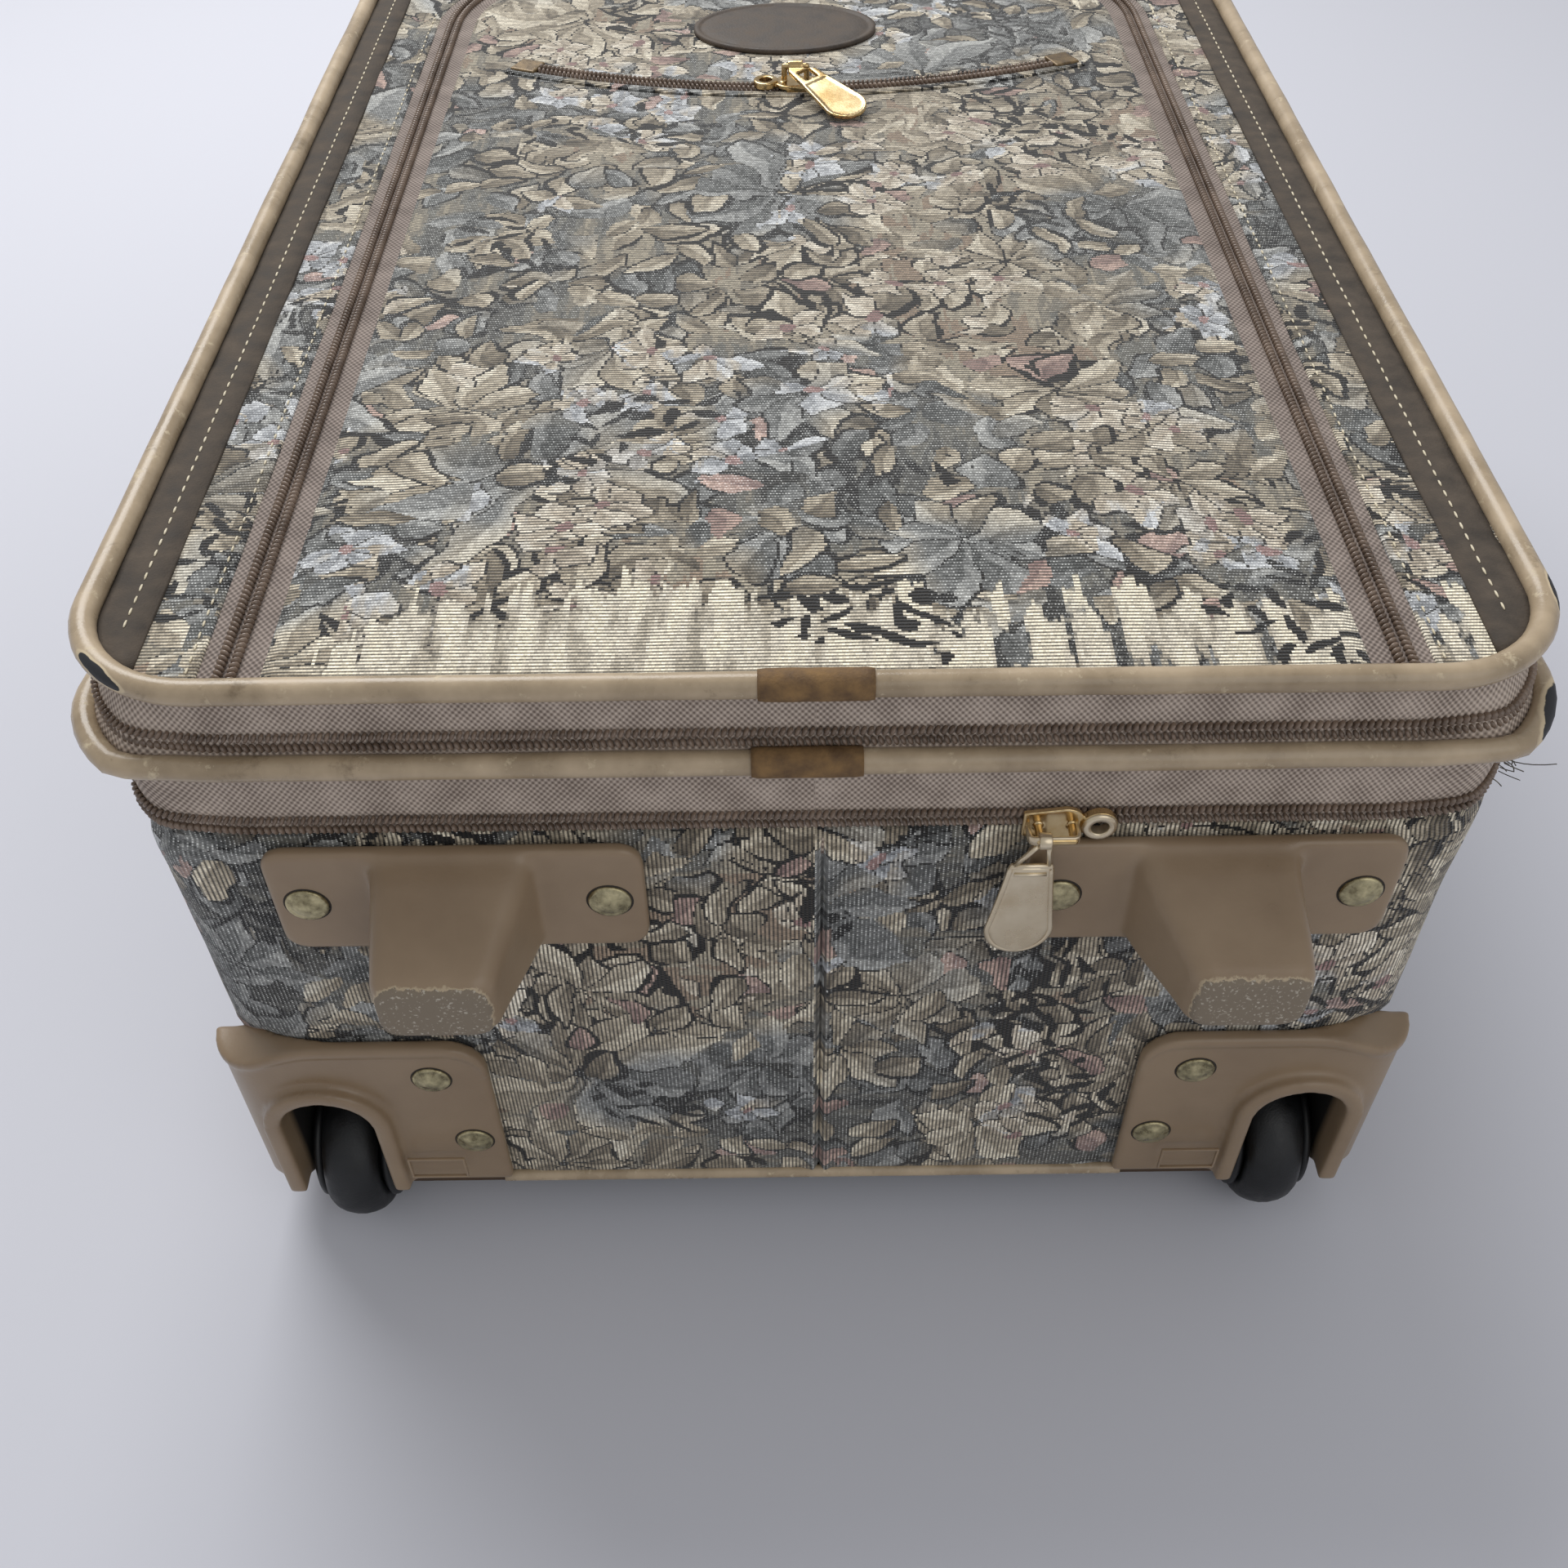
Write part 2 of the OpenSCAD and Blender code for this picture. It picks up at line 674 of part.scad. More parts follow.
module guard_rivets() {
  color(gold) placed() for (s = [-1, 1]) {
    for (p = GUARD_RIVETS) {
      translate([s * p[0], guard_inset - piping_r, p[1]]) rotate([90, 0, 0])
        rivet(wall_in - guard_inset);
    }
    translate([s * (case_width / 2 - guard_inset), SIDE_RIVET[0], SIDE_RIVET[1]])
      rotate([0, s * 90, 0]) rivet(wall_in - guard_inset);
  }
}

module axle(s) {
  x0 = wheel_x - well_half - well_wall;
  placed() translate([s > 0 ? x0 : -x0 - 2 * (well_half + well_wall) + 0.5, axle_y, wheel_radius])
    rotate([0, 90, 0])
    cylinder(r = axle_radius, h = 2 * (well_half + well_wall) - 0.5);
}

module axle_left() {
  color(steel) axle(-1);
}

module axle_right() {
  color(steel) axle(1);
}

module hub(s) {
  placed() translate([s * wheel_x, axle_y, wheel_radius]) rotate([0, 90, 0]) rotate_extrude() {
    translate([axle_radius + axle_clear, -well_half + 0.5]) square([4, 2 * well_half - 1]);
    translate([axle_radius + axle_clear, -tyre_width / 2 + 3])
      square([wheel_radius - 10 - axle_radius - axle_clear, tyre_width - 6]);
  }
}

module hub_left() {
  color(black) hub(-1);
}

module hub_right() {
  color(black) hub(1);
}

module tyre(s) {
  placed() translate([s * wheel_x, axle_y, wheel_radius]) rotate([0, 90, 0]) rotate_extrude()
    intersection() {
    translate([wheel_radius - 10, -tyre_width / 2]) square([10, tyre_width]);
    translate([wheel_radius - 16, 0]) circle(16);
  }
}

module tyre_left() {
  color(black) tyre(-1);
}

module tyre_right() {
  color(black) tyre(1);
}

// Pull handle and carry handle

module handle_cup() {
  color(black) placed() difference() {
    union() {
      translate([0, face_hi, (cup_low + cup_high) / 2]) rotate([-90, 0, 0]) linear_extrude(plate)
        rounded(2 * cup_half, cup_height, 6);
      translate([-recess_width / 2 - 2, face_hi - recess_depth - 2, cup_low + 2])
        cube([recess_width + 4, recess_depth + 3, cup_height - 4]);
    }
    translate([-recess_width / 2, face_hi - recess_depth, cup_low + 4])
      cube([recess_width, 2 * recess_depth, cup_height - 8]);
    for (s = [-1, 1]) {
      translate([s * tube_x, face_hi - 20, tube_z]) rotate([-90, 0, 0])
        cylinder(r = guide_radius, h = 22);
      translate([s * tube_x, face_hi, tube_z]) rotate([-90, 0, 0])
        cylinder(r = pull_radius + tube_clear, h = 12);
    }
    wall_holes();
  }
}

module cup_rivets() {
  color(steel) placed() for (s = [-1, 1]) {
    translate([s * (cup_half - 6), face_hi + plate, cup_high - 8]) rotate([-90, 0, 0])
      rivet(plate + wall);
  }
}

module guide_tube(s) {
  placed() translate([s * tube_x, tube_start, tube_z]) rotate([-90, 0, 0]) difference() {
    cylinder(r = guide_radius, h = face_hi + 2 - tube_start);
    translate([0, 0, -1]) cylinder(r = pull_radius + tube_clear, h = face_hi + 10);
  }
}

module guide_tube_left() {
  color(steel) guide_tube(-1);
}

module guide_tube_right() {
  color(steel) guide_tube(1);
}

module tube_bracket() {
  color(black) placed() difference() {
    translate([-cup_half - 3, bracket_end - bracket_depth, floor_in])
      cube([2 * cup_half + 6, bracket_depth, lining_z + 4 - floor_in]);
    for (s = [-1, 1]) {
      translate([s * tube_x, tube_start, tube_z]) rotate([-90, 0, 0])
        cylinder(r = guide_radius, h = bracket_depth);
    }
  }
}

module pull_tube(s) {
  placed() translate([s * tube_x, tube_start + 6, tube_z]) rotate([-90, 0, 0]) difference() {
    cylinder(r = pull_radius, h = face_hi + 8 - tube_start);
    translate([0, 0, -1]) cylinder(r = pull_radius - tube_wall, h = face_hi + 20);
  }
}

module pull_tube_left() {
  color(steel) pull_tube(-1);
}

module pull_tube_right() {
  color(steel) pull_tube(1);
}

module pull_grip() {
  color(black) placed() difference() {
    translate([0, face_hi + plate + 0.4, tube_z]) rotate([-90, 0, 0]) linear_extrude(grip_depth)
      rounded(2 * tube_x + 20, grip_height, grip_height / 2 - 0.5);
    for (s = [-1, 1]) {
      translate([s * tube_x, face_hi, tube_z]) rotate([-90, 0, 0]) cylinder(r = pull_radius, h = 14);
    }
  }
}

module carry_handle() {
  color(tan) placed() translate([0, face_hi + carry_foot, carry_z - carry_width / 2])
    linear_extrude(carry_width) intersection() {
    difference() {
      rounded(2 * carry_half, 2 * carry_rise, carry_rise - 2);
      rounded(2 * carry_half - 14, 2 * carry_rise - 14, carry_rise - 9);
    }
    translate([-100, 0]) square([200, 60]);
  }
}

module carry_brackets() {
  color(gold) placed() difference() {
    for (s = [-1, 1]) {
      translate([s * (carry_half - 3.5), face_hi, carry_z]) rotate([-90, 0, 0])
        linear_extrude(carry_foot) rounded(20, 50, 5);
    }
    wall_holes();
  }
}

module carry_rivets() {
  color(gold) placed() for (s = [-1, 1], z = [-18.5, 18.5]) {
    translate([s * (carry_half - 3.5), face_hi + carry_foot, carry_z + z]) rotate([-90, 0, 0])
      rivet(carry_foot + wall);
  }
}

// Lid

module lid_board() {
  color(brown) placed() translate([0, 0, board_under]) linear_extrude(board) wall_plan(gusset_inset);
}

module lid_gusset() {
  color(taupe) placed() ring(gusset_inset, gusset_inset + 2, zip_z + chain_gap / 2, board_under);
}

module panel_border() {
  color(tapestry) placed() translate([0, 0, panel_top - cloth]) linear_extrude(cloth) difference() {
    wall_plan(gusset_inset);
    arch(tape_half);
  }
}

module pocket_flap() {
  color(tapestry) placed() difference() {
    translate([0, 0, panel_top - cloth]) linear_extrude(cloth) intersection() {
      arch(-tape_half);
      wall_plan(gusset_inset);
    }
    slip_band(slip_radius - tape_half, slip_radius + tape_half, -slip_tape_half, slip_tape_half,
      panel_top - 5, panel_top + 5);
  }
}

module front_piping() {
  color(tan) placed() piping(front_height, board_under + 2, panel_top);
}

module front_splice() {
  color(tan) placed() splice(front_height, 0);
}

module mid_piping() {
  color(tan) placed() piping(mid_height, mid_height - 1.8, mid_height + 1.8);
}

module mid_splice() {
  color(tan) placed() splice(mid_height, -2);
}

module zip_tape_upper() {
  color(taupe) placed() ring(tape_inset, gusset_inset, zip_z + chain_gap / 2, mid_height - 1.8);
}

module zip_coil_upper() {
  color(bronze) placed() half_chain(zip_z + chain_gap / 2, zip_z + chain_half);
}

module expander_tape() {
  color(taupe) placed() ring(tape_inset, gusset_inset, mid_height + 1.8, board_under + 2);
}

module expander_coil() {
  color(bronze) placed() {
    ring(tape_inset - chain_height, tape_inset, expander_z - chain_half, expander_z - chain_gap / 2);
    ring(tape_inset - chain_height, tape_inset, expander_z + chain_gap / 2, expander_z + chain_half);
  }
}

module edge_band() {
  color(brown) placed() translate([0, 0, panel_top]) linear_extrude(0.8) {
    intersection() {
      wall_plan(gusset_inset);
      for (s = [-1, 1]) {
        translate([s * (case_width / 2 - gusset_inset), case_length / 4])
          square([2 * band_width, case_length / 2], center = true);
      }
    }
    intersection() {
      difference() {
        wall_plan(gusset_inset);
        wall_plan(gusset_inset + band_width);
      }
      translate([-300, case_length / 2]) square([600, 600]);
    }
  }
}

module pocket_tape() {
  color(taupe) placed()
    arch_band(tape_half, -tape_half, panel_top - cloth, panel_top - cloth + tape / 2);
}

module pocket_coil() {
  z0 = panel_top - cloth + tape / 2;
  color(bronze) placed() {
    arch_band(chain_half, chain_gap / 2, z0, z0 + chain_height);
    arch_band(-chain_gap / 2, -chain_half, z0, z0 + chain_height);
  }
}

module slip_tape() {
  color(taupe) placed()
    slip_band(slip_radius - tape_half, slip_radius + tape_half, -slip_tape_half, slip_tape_half,
      panel_top - cloth, panel_top - cloth + tape / 2);
}

module slip_coil() {
  z0 = panel_top - cloth + tape / 2;
  color(bronze) placed() {
    slip_band(slip_radius + chain_gap / 2, slip_radius + chain_half, -slip_half, slip_half, z0,
      z0 + chain_height);
    slip_band(slip_radius - chain_half, slip_radius - chain_gap / 2, -slip_half, slip_half, z0,
      z0 + chain_height);
  }
}

module slip_end_tabs() {
  z0 = panel_top - cloth + tape / 2;
  color(gold) placed() for (s = [-1, 1]) {
    slip_band(slip_radius - end_tab / 2, slip_radius + end_tab / 2, s * slip_half,
      s * (slip_half + end_angle), z0, z0 + chain_height + 0.4);
  }
}

module oval_patch() {
  color(tan) placed() translate([-3.5, slip_y + patch_rise, panel_top]) linear_extrude(patch_thick)
    scale([patch_length / patch_width, 1]) circle(patch_width / 2);
}

// Sliders and tabs

module main_slider() {
  color(gold) placed() on_wheel_end(main_slider_x, zip_z) slider(slider_width, false);
}

module main_tab() {
  color(gold) placed() on_wheel_end(main_slider_x, zip_z) tab(-8, 0);
}

module expander_slider() {
  color(gold) placed() on_handle_end(expander_x, expander_z) slider(narrow_slider, true);
}

module expander_tab() {
  color(gold) placed() on_handle_end(expander_x, expander_z) tab(0, 0);
}

module pocket_slider() {
  color(gold) placed() on_panel(pocket_slider_x, arch_top) slider(slider_width, true);
}

module pocket_tab() {
  color(gold) placed() on_panel(pocket_slider_x, arch_top) tab(0, 11);
}

module slip_slider() {
  color(gold) placed() on_panel(0, slip_y) mirror([1, 0, 0]) slider(slider_width, true);
}

module slip_tab() {
  color(gold) placed() on_panel(0, slip_y) tab(36, 11);
}

back_panel();
body_wall();
back_piping();
lining_floor();
zip_tape_lower();
zip_coil_lower();
hinge_band();
foot_left();
foot_right();
foot_rivets();
guard_left();
guard_right();
guard_rivets();
axle_left();
axle_right();
hub_left();
hub_right();
tyre_left();
tyre_right();
handle_cup();
cup_rivets();
guide_tube_left();
guide_tube_right();
tube_bracket();
pull_tube_left();
pull_tube_right();
pull_grip();
carry_handle();
carry_brackets();
carry_rivets();
lid_board();
lid_gusset();
panel_border();
pocket_flap();
front_piping();
front_splice();
mid_piping();
mid_splice();
zip_tape_upper();
zip_coil_upper();
expander_tape();
expander_coil();
edge_band();
pocket_tape();
pocket_coil();
slip_tape();
slip_coil();
slip_end_tabs();
oval_patch();
main_slider();
main_tab();
expander_slider();
expander_tab();
pocket_slider();
pocket_tab();
slip_slider();
slip_tab();
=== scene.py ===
# %% [markdown]
# # A soft-sided upright suitcase, seen from its wheel end
# The case lies on its back, as in the photograph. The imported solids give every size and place.
# This script dresses them: woven tapestry, vinyl piping, zip chains, moulded plastic and brass.

# %% Load the frame
import math
import random

import bmesh
import bpy
from mathutils import Matrix, Vector, noise


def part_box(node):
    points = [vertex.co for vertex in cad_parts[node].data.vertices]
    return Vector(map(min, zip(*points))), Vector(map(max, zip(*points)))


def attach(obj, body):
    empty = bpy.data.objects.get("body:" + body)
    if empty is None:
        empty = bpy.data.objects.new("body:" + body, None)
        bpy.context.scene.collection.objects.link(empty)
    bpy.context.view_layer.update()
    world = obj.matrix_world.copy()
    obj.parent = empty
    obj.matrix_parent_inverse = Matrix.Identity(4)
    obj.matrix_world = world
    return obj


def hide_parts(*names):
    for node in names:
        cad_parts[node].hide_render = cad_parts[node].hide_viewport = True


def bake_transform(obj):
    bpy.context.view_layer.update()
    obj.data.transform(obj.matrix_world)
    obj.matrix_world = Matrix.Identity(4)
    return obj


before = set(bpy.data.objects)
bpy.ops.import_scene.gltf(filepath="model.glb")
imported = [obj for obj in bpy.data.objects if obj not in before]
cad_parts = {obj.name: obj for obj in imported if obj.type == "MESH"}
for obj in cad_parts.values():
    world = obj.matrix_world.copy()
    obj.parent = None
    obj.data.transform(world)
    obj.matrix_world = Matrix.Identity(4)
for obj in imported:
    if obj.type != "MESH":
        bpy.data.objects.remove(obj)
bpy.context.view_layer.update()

# %% [markdown]
# ## Sizes that everything shares
# All lengths are in metres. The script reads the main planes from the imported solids,
# so a dressed piece sits where its solid sits. MM turns a size in millimetres into metres.

# %% Sizes
MM = 0.001
STEP = 4 * MM  # spacing of the grids
BEAD = 3.25 * MM  # radius of the lid's two pipings
PLAN_CORNER = 36 * MM  # the outline's corners, outside the pipings
TAPE_HALF = 9.5 * MM  # half the width of a flat zip tape in the solids
PIPING_LOW, PIPING_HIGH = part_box("front_piping")
HALF_WIDTH = PIPING_HIGH.x
END_LOW, END_HIGH = PIPING_LOW.y, PIPING_HIGH.y
PANEL_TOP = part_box("pocket_flap")[1].z
WALL_LOW, WALL_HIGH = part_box("body_wall")
WALL_INSET = HALF_WIDTH - WALL_HIGH.x
WALL_CORNER = 35 * MM
TAPE_INSET = HALF_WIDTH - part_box("zip_tape_upper")[1].x
HINGE_X = HALF_WIDTH - TAPE_INSET
ZIP_Z = (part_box("zip_coil_upper")[0].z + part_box("zip_coil_lower")[1].z) / 2
EXPANDER_Z = (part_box("expander_coil")[0].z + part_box("expander_coil")[1].z) / 2
FRONT_Z = PIPING_HIGH.z - BEAD
MID_Z = (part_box("mid_piping")[0].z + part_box("mid_piping")[1].z) / 2
FACE_LOW = WALL_LOW.y
ARCH_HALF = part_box("pocket_tape")[1].x - TAPE_HALF
ARCH_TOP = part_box("pocket_tape")[1].y - TAPE_HALF
ARCH_CORNER = 70 * MM
print("panel top", round(PANEL_TOP, 4), "main zip", round(ZIP_Z, 4), "wheel end face", round(FACE_LOW, 4))

# %% [markdown]
# ## The camera
# The photograph looks down at the wheel end by about 46 degrees from arm's length.
# A fit to the piping, the zips and the feet gave the camera's place, its tilt and its lens.
# A camera in Blender looks along its own -Z, so its matrix holds right, up and back.

# %% Camera
view_tilt = math.radians(45.856)
view_roll = math.radians(-0.729)
ahead = Vector((0.0, math.cos(view_tilt), -math.sin(view_tilt)))
level_right = Vector((1.0, 0.0, 0.0))
level_up = level_right.cross(ahead)
right = level_right * math.cos(view_roll) + level_up * math.sin(view_roll)
up = level_up * math.cos(view_roll) - level_right * math.sin(view_roll)
camera_data = bpy.data.cameras.new("photo_camera")
camera_data.lens = 36.382
camera_data.sensor_width = 36.0
camera_data.clip_start = 0.01
camera = bpy.data.objects.new("photo_camera", camera_data)
camera.matrix_world = Matrix(
    (
        (right.x, up.x, -ahead.x, -0.00769),
        (right.y, up.y, -ahead.y, -0.516795),
        (right.z, up.z, -ahead.z, 0.4877),
        (0, 0, 0, 1),
    )
)
bpy.context.scene.collection.objects.link(camera)
bpy.context.scene.camera = camera
print("camera at", [round(c, 3) for c in camera.matrix_world.translation])

# %% [markdown]
# ## Helpers for finishes
# Colours are written as sRGB hex, as a painter would read them off a chart, and one function
# makes them linear for the shader. Another adds a node, sets it and links it.

# %% Colour, node and material helpers
def linear(code):
    channels = [int(code[i : i + 2], 16) / 255 for i in (1, 3, 5)]
    return tuple(c / 12.92 if c <= 0.04045 else ((c + 0.055) / 1.055) ** 2.4 for c in channels) + (1.0,)


def add(tree, kind, inputs=None, **settings):
    made = tree.nodes.new("ShaderNode" + kind)
    for key, value in settings.items():
        setattr(made, key, value)
    for key, value in (inputs or {}).items():
        socket = made.inputs[key]
        if isinstance(value, bpy.types.NodeSocket):
            tree.links.new(value, socket)
        else:
            socket.default_value = value
    return made


def new_finish(name, roughness=0.5, metallic=0.0):
    material = bpy.data.materials.new(name)
    material.use_nodes = True
    tree = material.node_tree
    shader = tree.nodes["Principled BSDF"]
    shader.inputs["Roughness"].default_value = roughness
    shader.inputs["Metallic"].default_value = metallic
    return material, tree, shader


def ramp(tree, factor, stops, interpolation="LINEAR"):
    made = add(tree, "ValToRGB", {"Fac": factor})
    made.color_ramp.interpolation = interpolation
    while len(made.color_ramp.elements) < len(stops):
        made.color_ramp.elements.new(0.5)
    for element, (place, colour) in zip(made.color_ramp.elements, stops):
        element.position = place
        element.color = linear(colour) if isinstance(colour, str) else (colour, colour, colour, 1)
    return made.outputs["Color"]


# %% [markdown]
# ## Floor, backdrop and light
# The photograph has a pale cloth under a soft sky. A plain pale floor keeps the shadow,
# one large soft lamp stands for the window and the world fills the rest.

# %% Floor and light
floor_mesh = bmesh.new()
bmesh.ops.create_grid(floor_mesh, x_segments=1, y_segments=1, size=6)
floor_data = bpy.data.meshes.new("floor")
floor_mesh.to_mesh(floor_data)
floor_mesh.free()
floor = bpy.data.objects.new("floor", floor_data)
bpy.context.scene.collection.objects.link(floor)
floor_finish, tree, shader = new_finish("pale_floor_cloth", 0.9)
shader.inputs["Base Color"].default_value = linear("#cccdd5")
floor_data.materials.append(floor_finish)

world = bpy.data.worlds.new("soft_room")
world.use_nodes = True
world.node_tree.nodes["Background"].inputs["Color"].default_value = linear("#eff0f2")
world.node_tree.nodes["Background"].inputs["Strength"].default_value = 0.55
bpy.context.scene.world = world


def soft_lamp(name, place, target, size, power):
    data = bpy.data.lights.new(name, "AREA")
    data.shape = "DISK"
    data.size = size
    data.energy = power
    lamp = bpy.data.objects.new(name, data)
    lamp.location = place
    lamp.rotation_euler = (Vector(target) - Vector(place)).to_track_quat("-Z", "Y").to_euler()
    bpy.context.scene.collection.objects.link(lamp)
    return lamp


soft_lamp("window_light", (-0.5, 0.9, 1.5), (0, 0, 0.15), 1.3, 25)
soft_lamp("room_bounce", (0.7, -1.3, 1.1), (0, -0.2, 0.12), 1.4, 4)
bpy.context.scene.view_settings.view_transform = "Standard"
print("stage ready")

# %% [markdown]
# ## The tapestry
# The cloth is a jacquard: coloured wefts on a dark warp, woven into dense foliage.
# Its picture is a generic verdure. A picture could be painted, but a field of leaves needs no picture:
# Voronoi cells say where plants stand. In a small cell grows one leaf, turned by a slow noise so that
# neighbours lie in bunches, and in a large cell a fan of leaves grows from its middle.
# The coordinates are snapped to the thread spacing first, so every edge has woven steps.

# %% Leaves
RIB = 1.15 * MM
PICK = 0.8 * MM
INK = "#1d1b1a"
TONE_SPREAD, TONE_MIDDLE = 1.33, 0.27  # gamma of the finished colours, and the tone that it keeps


def plant_cells(tree, place, size, shift):
    """Cells of one size: the spot in its own cell, the room to the cell's edge, the cell's place and random values."""
    moved = add(tree, "VectorMath", {0: place, 1: (shift, shift * 0.7, 0)}, operation="ADD").outputs[0]
    spread = {"Vector": moved, "Scale": 1 / size, "Randomness": 0.8}
    cell = add(tree, "TexVoronoi", spread, voronoi_dimensions="2D")
    room = add(tree, "TexVoronoi", spread, voronoi_dimensions="2D", feature="DISTANCE_TO_EDGE").outputs["Distance"]
    room = add(tree, "Math", {0: room, 1: size}, operation="MULTIPLY").outputs[0]
    spot = add(tree, "VectorMath", {0: moved, 1: cell.outputs["Position"]}, operation="SUBTRACT").outputs[0]
    chance = add(tree, "SeparateColor", {0: cell.outputs["Color"]}).outputs
    return spot, room, cell.outputs["Position"], chance


def leaf_shape(tree, along, across, length, width):
    """Depth inside a pointed leaf, in metres, and its tone. Along is -1 at the stalk and 1 at the tip."""
    square = add(tree, "Math", {0: along, 1: along}, operation="MULTIPLY").outputs[0]
    across = add(tree, "Math", {0: square, 1: width * 0.3, 2: across}, operation="MULTIPLY_ADD").outputs[0]
    flank = add(tree, "Math", {0: across}, operation="ABSOLUTE").outputs[0]
    shape = add(tree, "Math", {0: 1.0, 1: square}, operation="SUBTRACT").outputs[0]
    taper = add(tree, "Math", {0: along, 1: -0.25, 2: 1.0}, operation="MULTIPLY_ADD").outputs[0]
    shape = add(tree, "Math", {0: shape, 1: taper}, operation="MULTIPLY").outputs[0]
    shape = add(tree, "Math", {0: shape, 1: width}, operation="MULTIPLY").outputs[0]
    inside = add(tree, "Math", {0: shape, 1: flank}, operation="SUBTRACT").outputs[0]
    rib = add(tree, "MapRange", {0: flank, 1: 0.3 * MM, 2: 0.8 * MM, 3: 1.0, 4: 0.0}).outputs[0]
    lit = add(tree, "MapRange", {0: across, 1: -0.6 * MM, 2: 0.6 * MM}).outputs[0]
    vein = add(tree, "Math", {0: along, 1: length / (2.6 * MM)}, operation="MULTIPLY").outputs[0]
    vein = add(tree, "Math", {0: flank, 1: -1 / (2.4 * MM), 2: vein}, operation="MULTIPLY_ADD").outputs[0]
    vein = add(tree, "Math", {0: vein, 1: math.pi}, operation="MULTIPLY").outputs[0]
    vein = add(tree, "Math", {0: vein}, operation="SINE").outputs[0]
    tone = add(tree, "Math", {0: along, 1: 0.16, 2: 0.34}, operation="MULTIPLY_ADD").outputs[0]
    tone = add(tree, "Math", {0: lit, 1: 0.2, 2: tone}, operation="MULTIPLY_ADD").outputs[0]
    tone = add(tree, "Math", {0: vein, 1: 0.05, 2: tone}, operation="MULTIPLY_ADD").outputs[0]
    tone = add(tree, "Math", {0: rib, 1: -0.16, 2: tone}, operation="MULTIPLY_ADD").outputs[0]
    return inside, tone


def single_leaves(tree, place, size, shift, long, slim):
    """One leaf in each cell, in bunches that lie the same way."""
    spot, room, centre, chance = plant_cells(tree, place, size, shift)
    lean = add(tree, "TexNoise", {"Vector": centre, "Scale": 0.35 / size, "Detail": 0.0}, noise_dimensions="2D")
    lean = add(tree, "Math", {0: lean.outputs[0], 1: 14.0, 2: chance[0]}, operation="MULTIPLY_ADD").outputs[0]
    spot = add(tree, "VectorRotate", {"Vector": spot, "Angle": lean}, rotation_type="Z_AXIS").outputs[0]
    axes = add(tree, "SeparateXYZ", {0: spot})
    along = add(tree, "Math", {0: axes.outputs["X"], 1: size * long}, operation="DIVIDE").outputs[0]
    inside, tone = leaf_shape(tree, along, axes.outputs["Y"], size * long, size * slim)
    inside = add(tree, "Math", {0: inside, 1: room}, operation="MINIMUM").outputs[0]
    tone = add(tree, "Math", {0: chance[1], 1: 0.3, 2: tone}, operation="MULTIPLY_ADD").outputs[0]
    return inside, tone, chance[1], chance[2]


def leaf_fans(tree, place, size, shift, leaves, width):
    """A fan of leaves round the middle of each cell. Each leaf has its own length and shade."""
    spot, room, centre, chance = plant_cells(tree, place, size, shift)
    radius = add(tree, "VectorMath", {0: spot}, operation="LENGTH").outputs["Value"]
    axes = add(tree, "SeparateXYZ", {0: spot})
    angle = add(tree, "Math", {0: axes.outputs["Y"], 1: axes.outputs["X"]}, operation="ARCTAN2").outputs[0]
    angle = add(tree, "Math", {0: chance[0], 1: math.tau, 2: angle}, operation="MULTIPLY_ADD").outputs[0]
    count = add(tree, "Math", {0: angle, 1: leaves / math.tau}, operation="MULTIPLY").outputs[0]
    index = add(tree, "Math", {0: count}, operation="FLOOR").outputs[0]
    part = add(tree, "Math", {0: count}, operation="FRACT").outputs[0]
    swing = {0: part, 1: math.tau / leaves, 2: -math.pi / leaves}
    swing = add(tree, "Math", swing, operation="MULTIPLY_ADD").outputs[0]
    key = add(tree, "CombineXYZ", {0: index, 1: chance[1], 2: chance[2]})
    own = add(tree, "TexWhiteNoise", {"Vector": key.outputs[0]}, noise_dimensions="3D").outputs["Value"]
    ahead = add(tree, "Math", {0: swing}, operation="COSINE").outputs[0]
    ahead = add(tree, "Math", {0: ahead, 1: radius}, operation="MULTIPLY").outputs[0]
    across = add(tree, "Math", {0: swing}, operation="SINE").outputs[0]
    across = add(tree, "Math", {0: across, 1: radius}, operation="MULTIPLY").outputs[0]
    length = add(tree, "Math", {0: own, 1: size * 0.26, 2: size * 0.34}, operation="MULTIPLY_ADD").outputs[0]
    along = add(tree, "Math", {0: ahead, 1: length}, operation="DIVIDE").outputs[0]
    along = add(tree, "Math", {0: along, 1: 2.0, 2: -1.0}, operation="MULTIPLY_ADD").outputs[0]
    inside, tone = leaf_shape(tree, along, across, size * 0.25, width)
    flank = add(tree, "Math", {0: swing}, operation="ABSOLUTE").outputs[0]
    flank = add(tree, "Math", {0: math.pi / leaves, 1: flank}, operation="SUBTRACT").outputs[0]
    flank = add(tree, "Math", {0: flank, 1: radius}, operation="MULTIPLY").outputs[0]
    inside = add(tree, "Math", {0: inside, 1: flank}, operation="MINIMUM").outputs[0]
    inside = add(tree, "Math", {0: inside, 1: room}, operation="MINIMUM").outputs[0]
    bare = add(tree, "Math", {0: own, 1: 0.2}, operation="LESS_THAN").outputs[0]
    inside = add(tree, "Math", {0: bare, 1: -5 * MM, 2: inside}, operation="MULTIPLY_ADD").outputs[0]
    tone = add(tree, "Math", {0: own, 1: 0.3, 2: tone}, operation="MULTIPLY_ADD").outputs[0]
    return inside, tone, chance[1], chance[2]


print("threads", round(RIB / MM, 2), "by", round(PICK / MM, 2), "mm")

# %% [markdown]
# ## The tapestry's ground
# Grey and cream areas change places from patch to patch and meet in woven hatching.
# Bare cream clearings lie where the cloth's own attribute says so.
# Cloth coordinates are the UV map in metres: hatching runs along V, and ribs lie across it.
# The ground's fields go into a dictionary, and each later layer lays its colour over the last one.


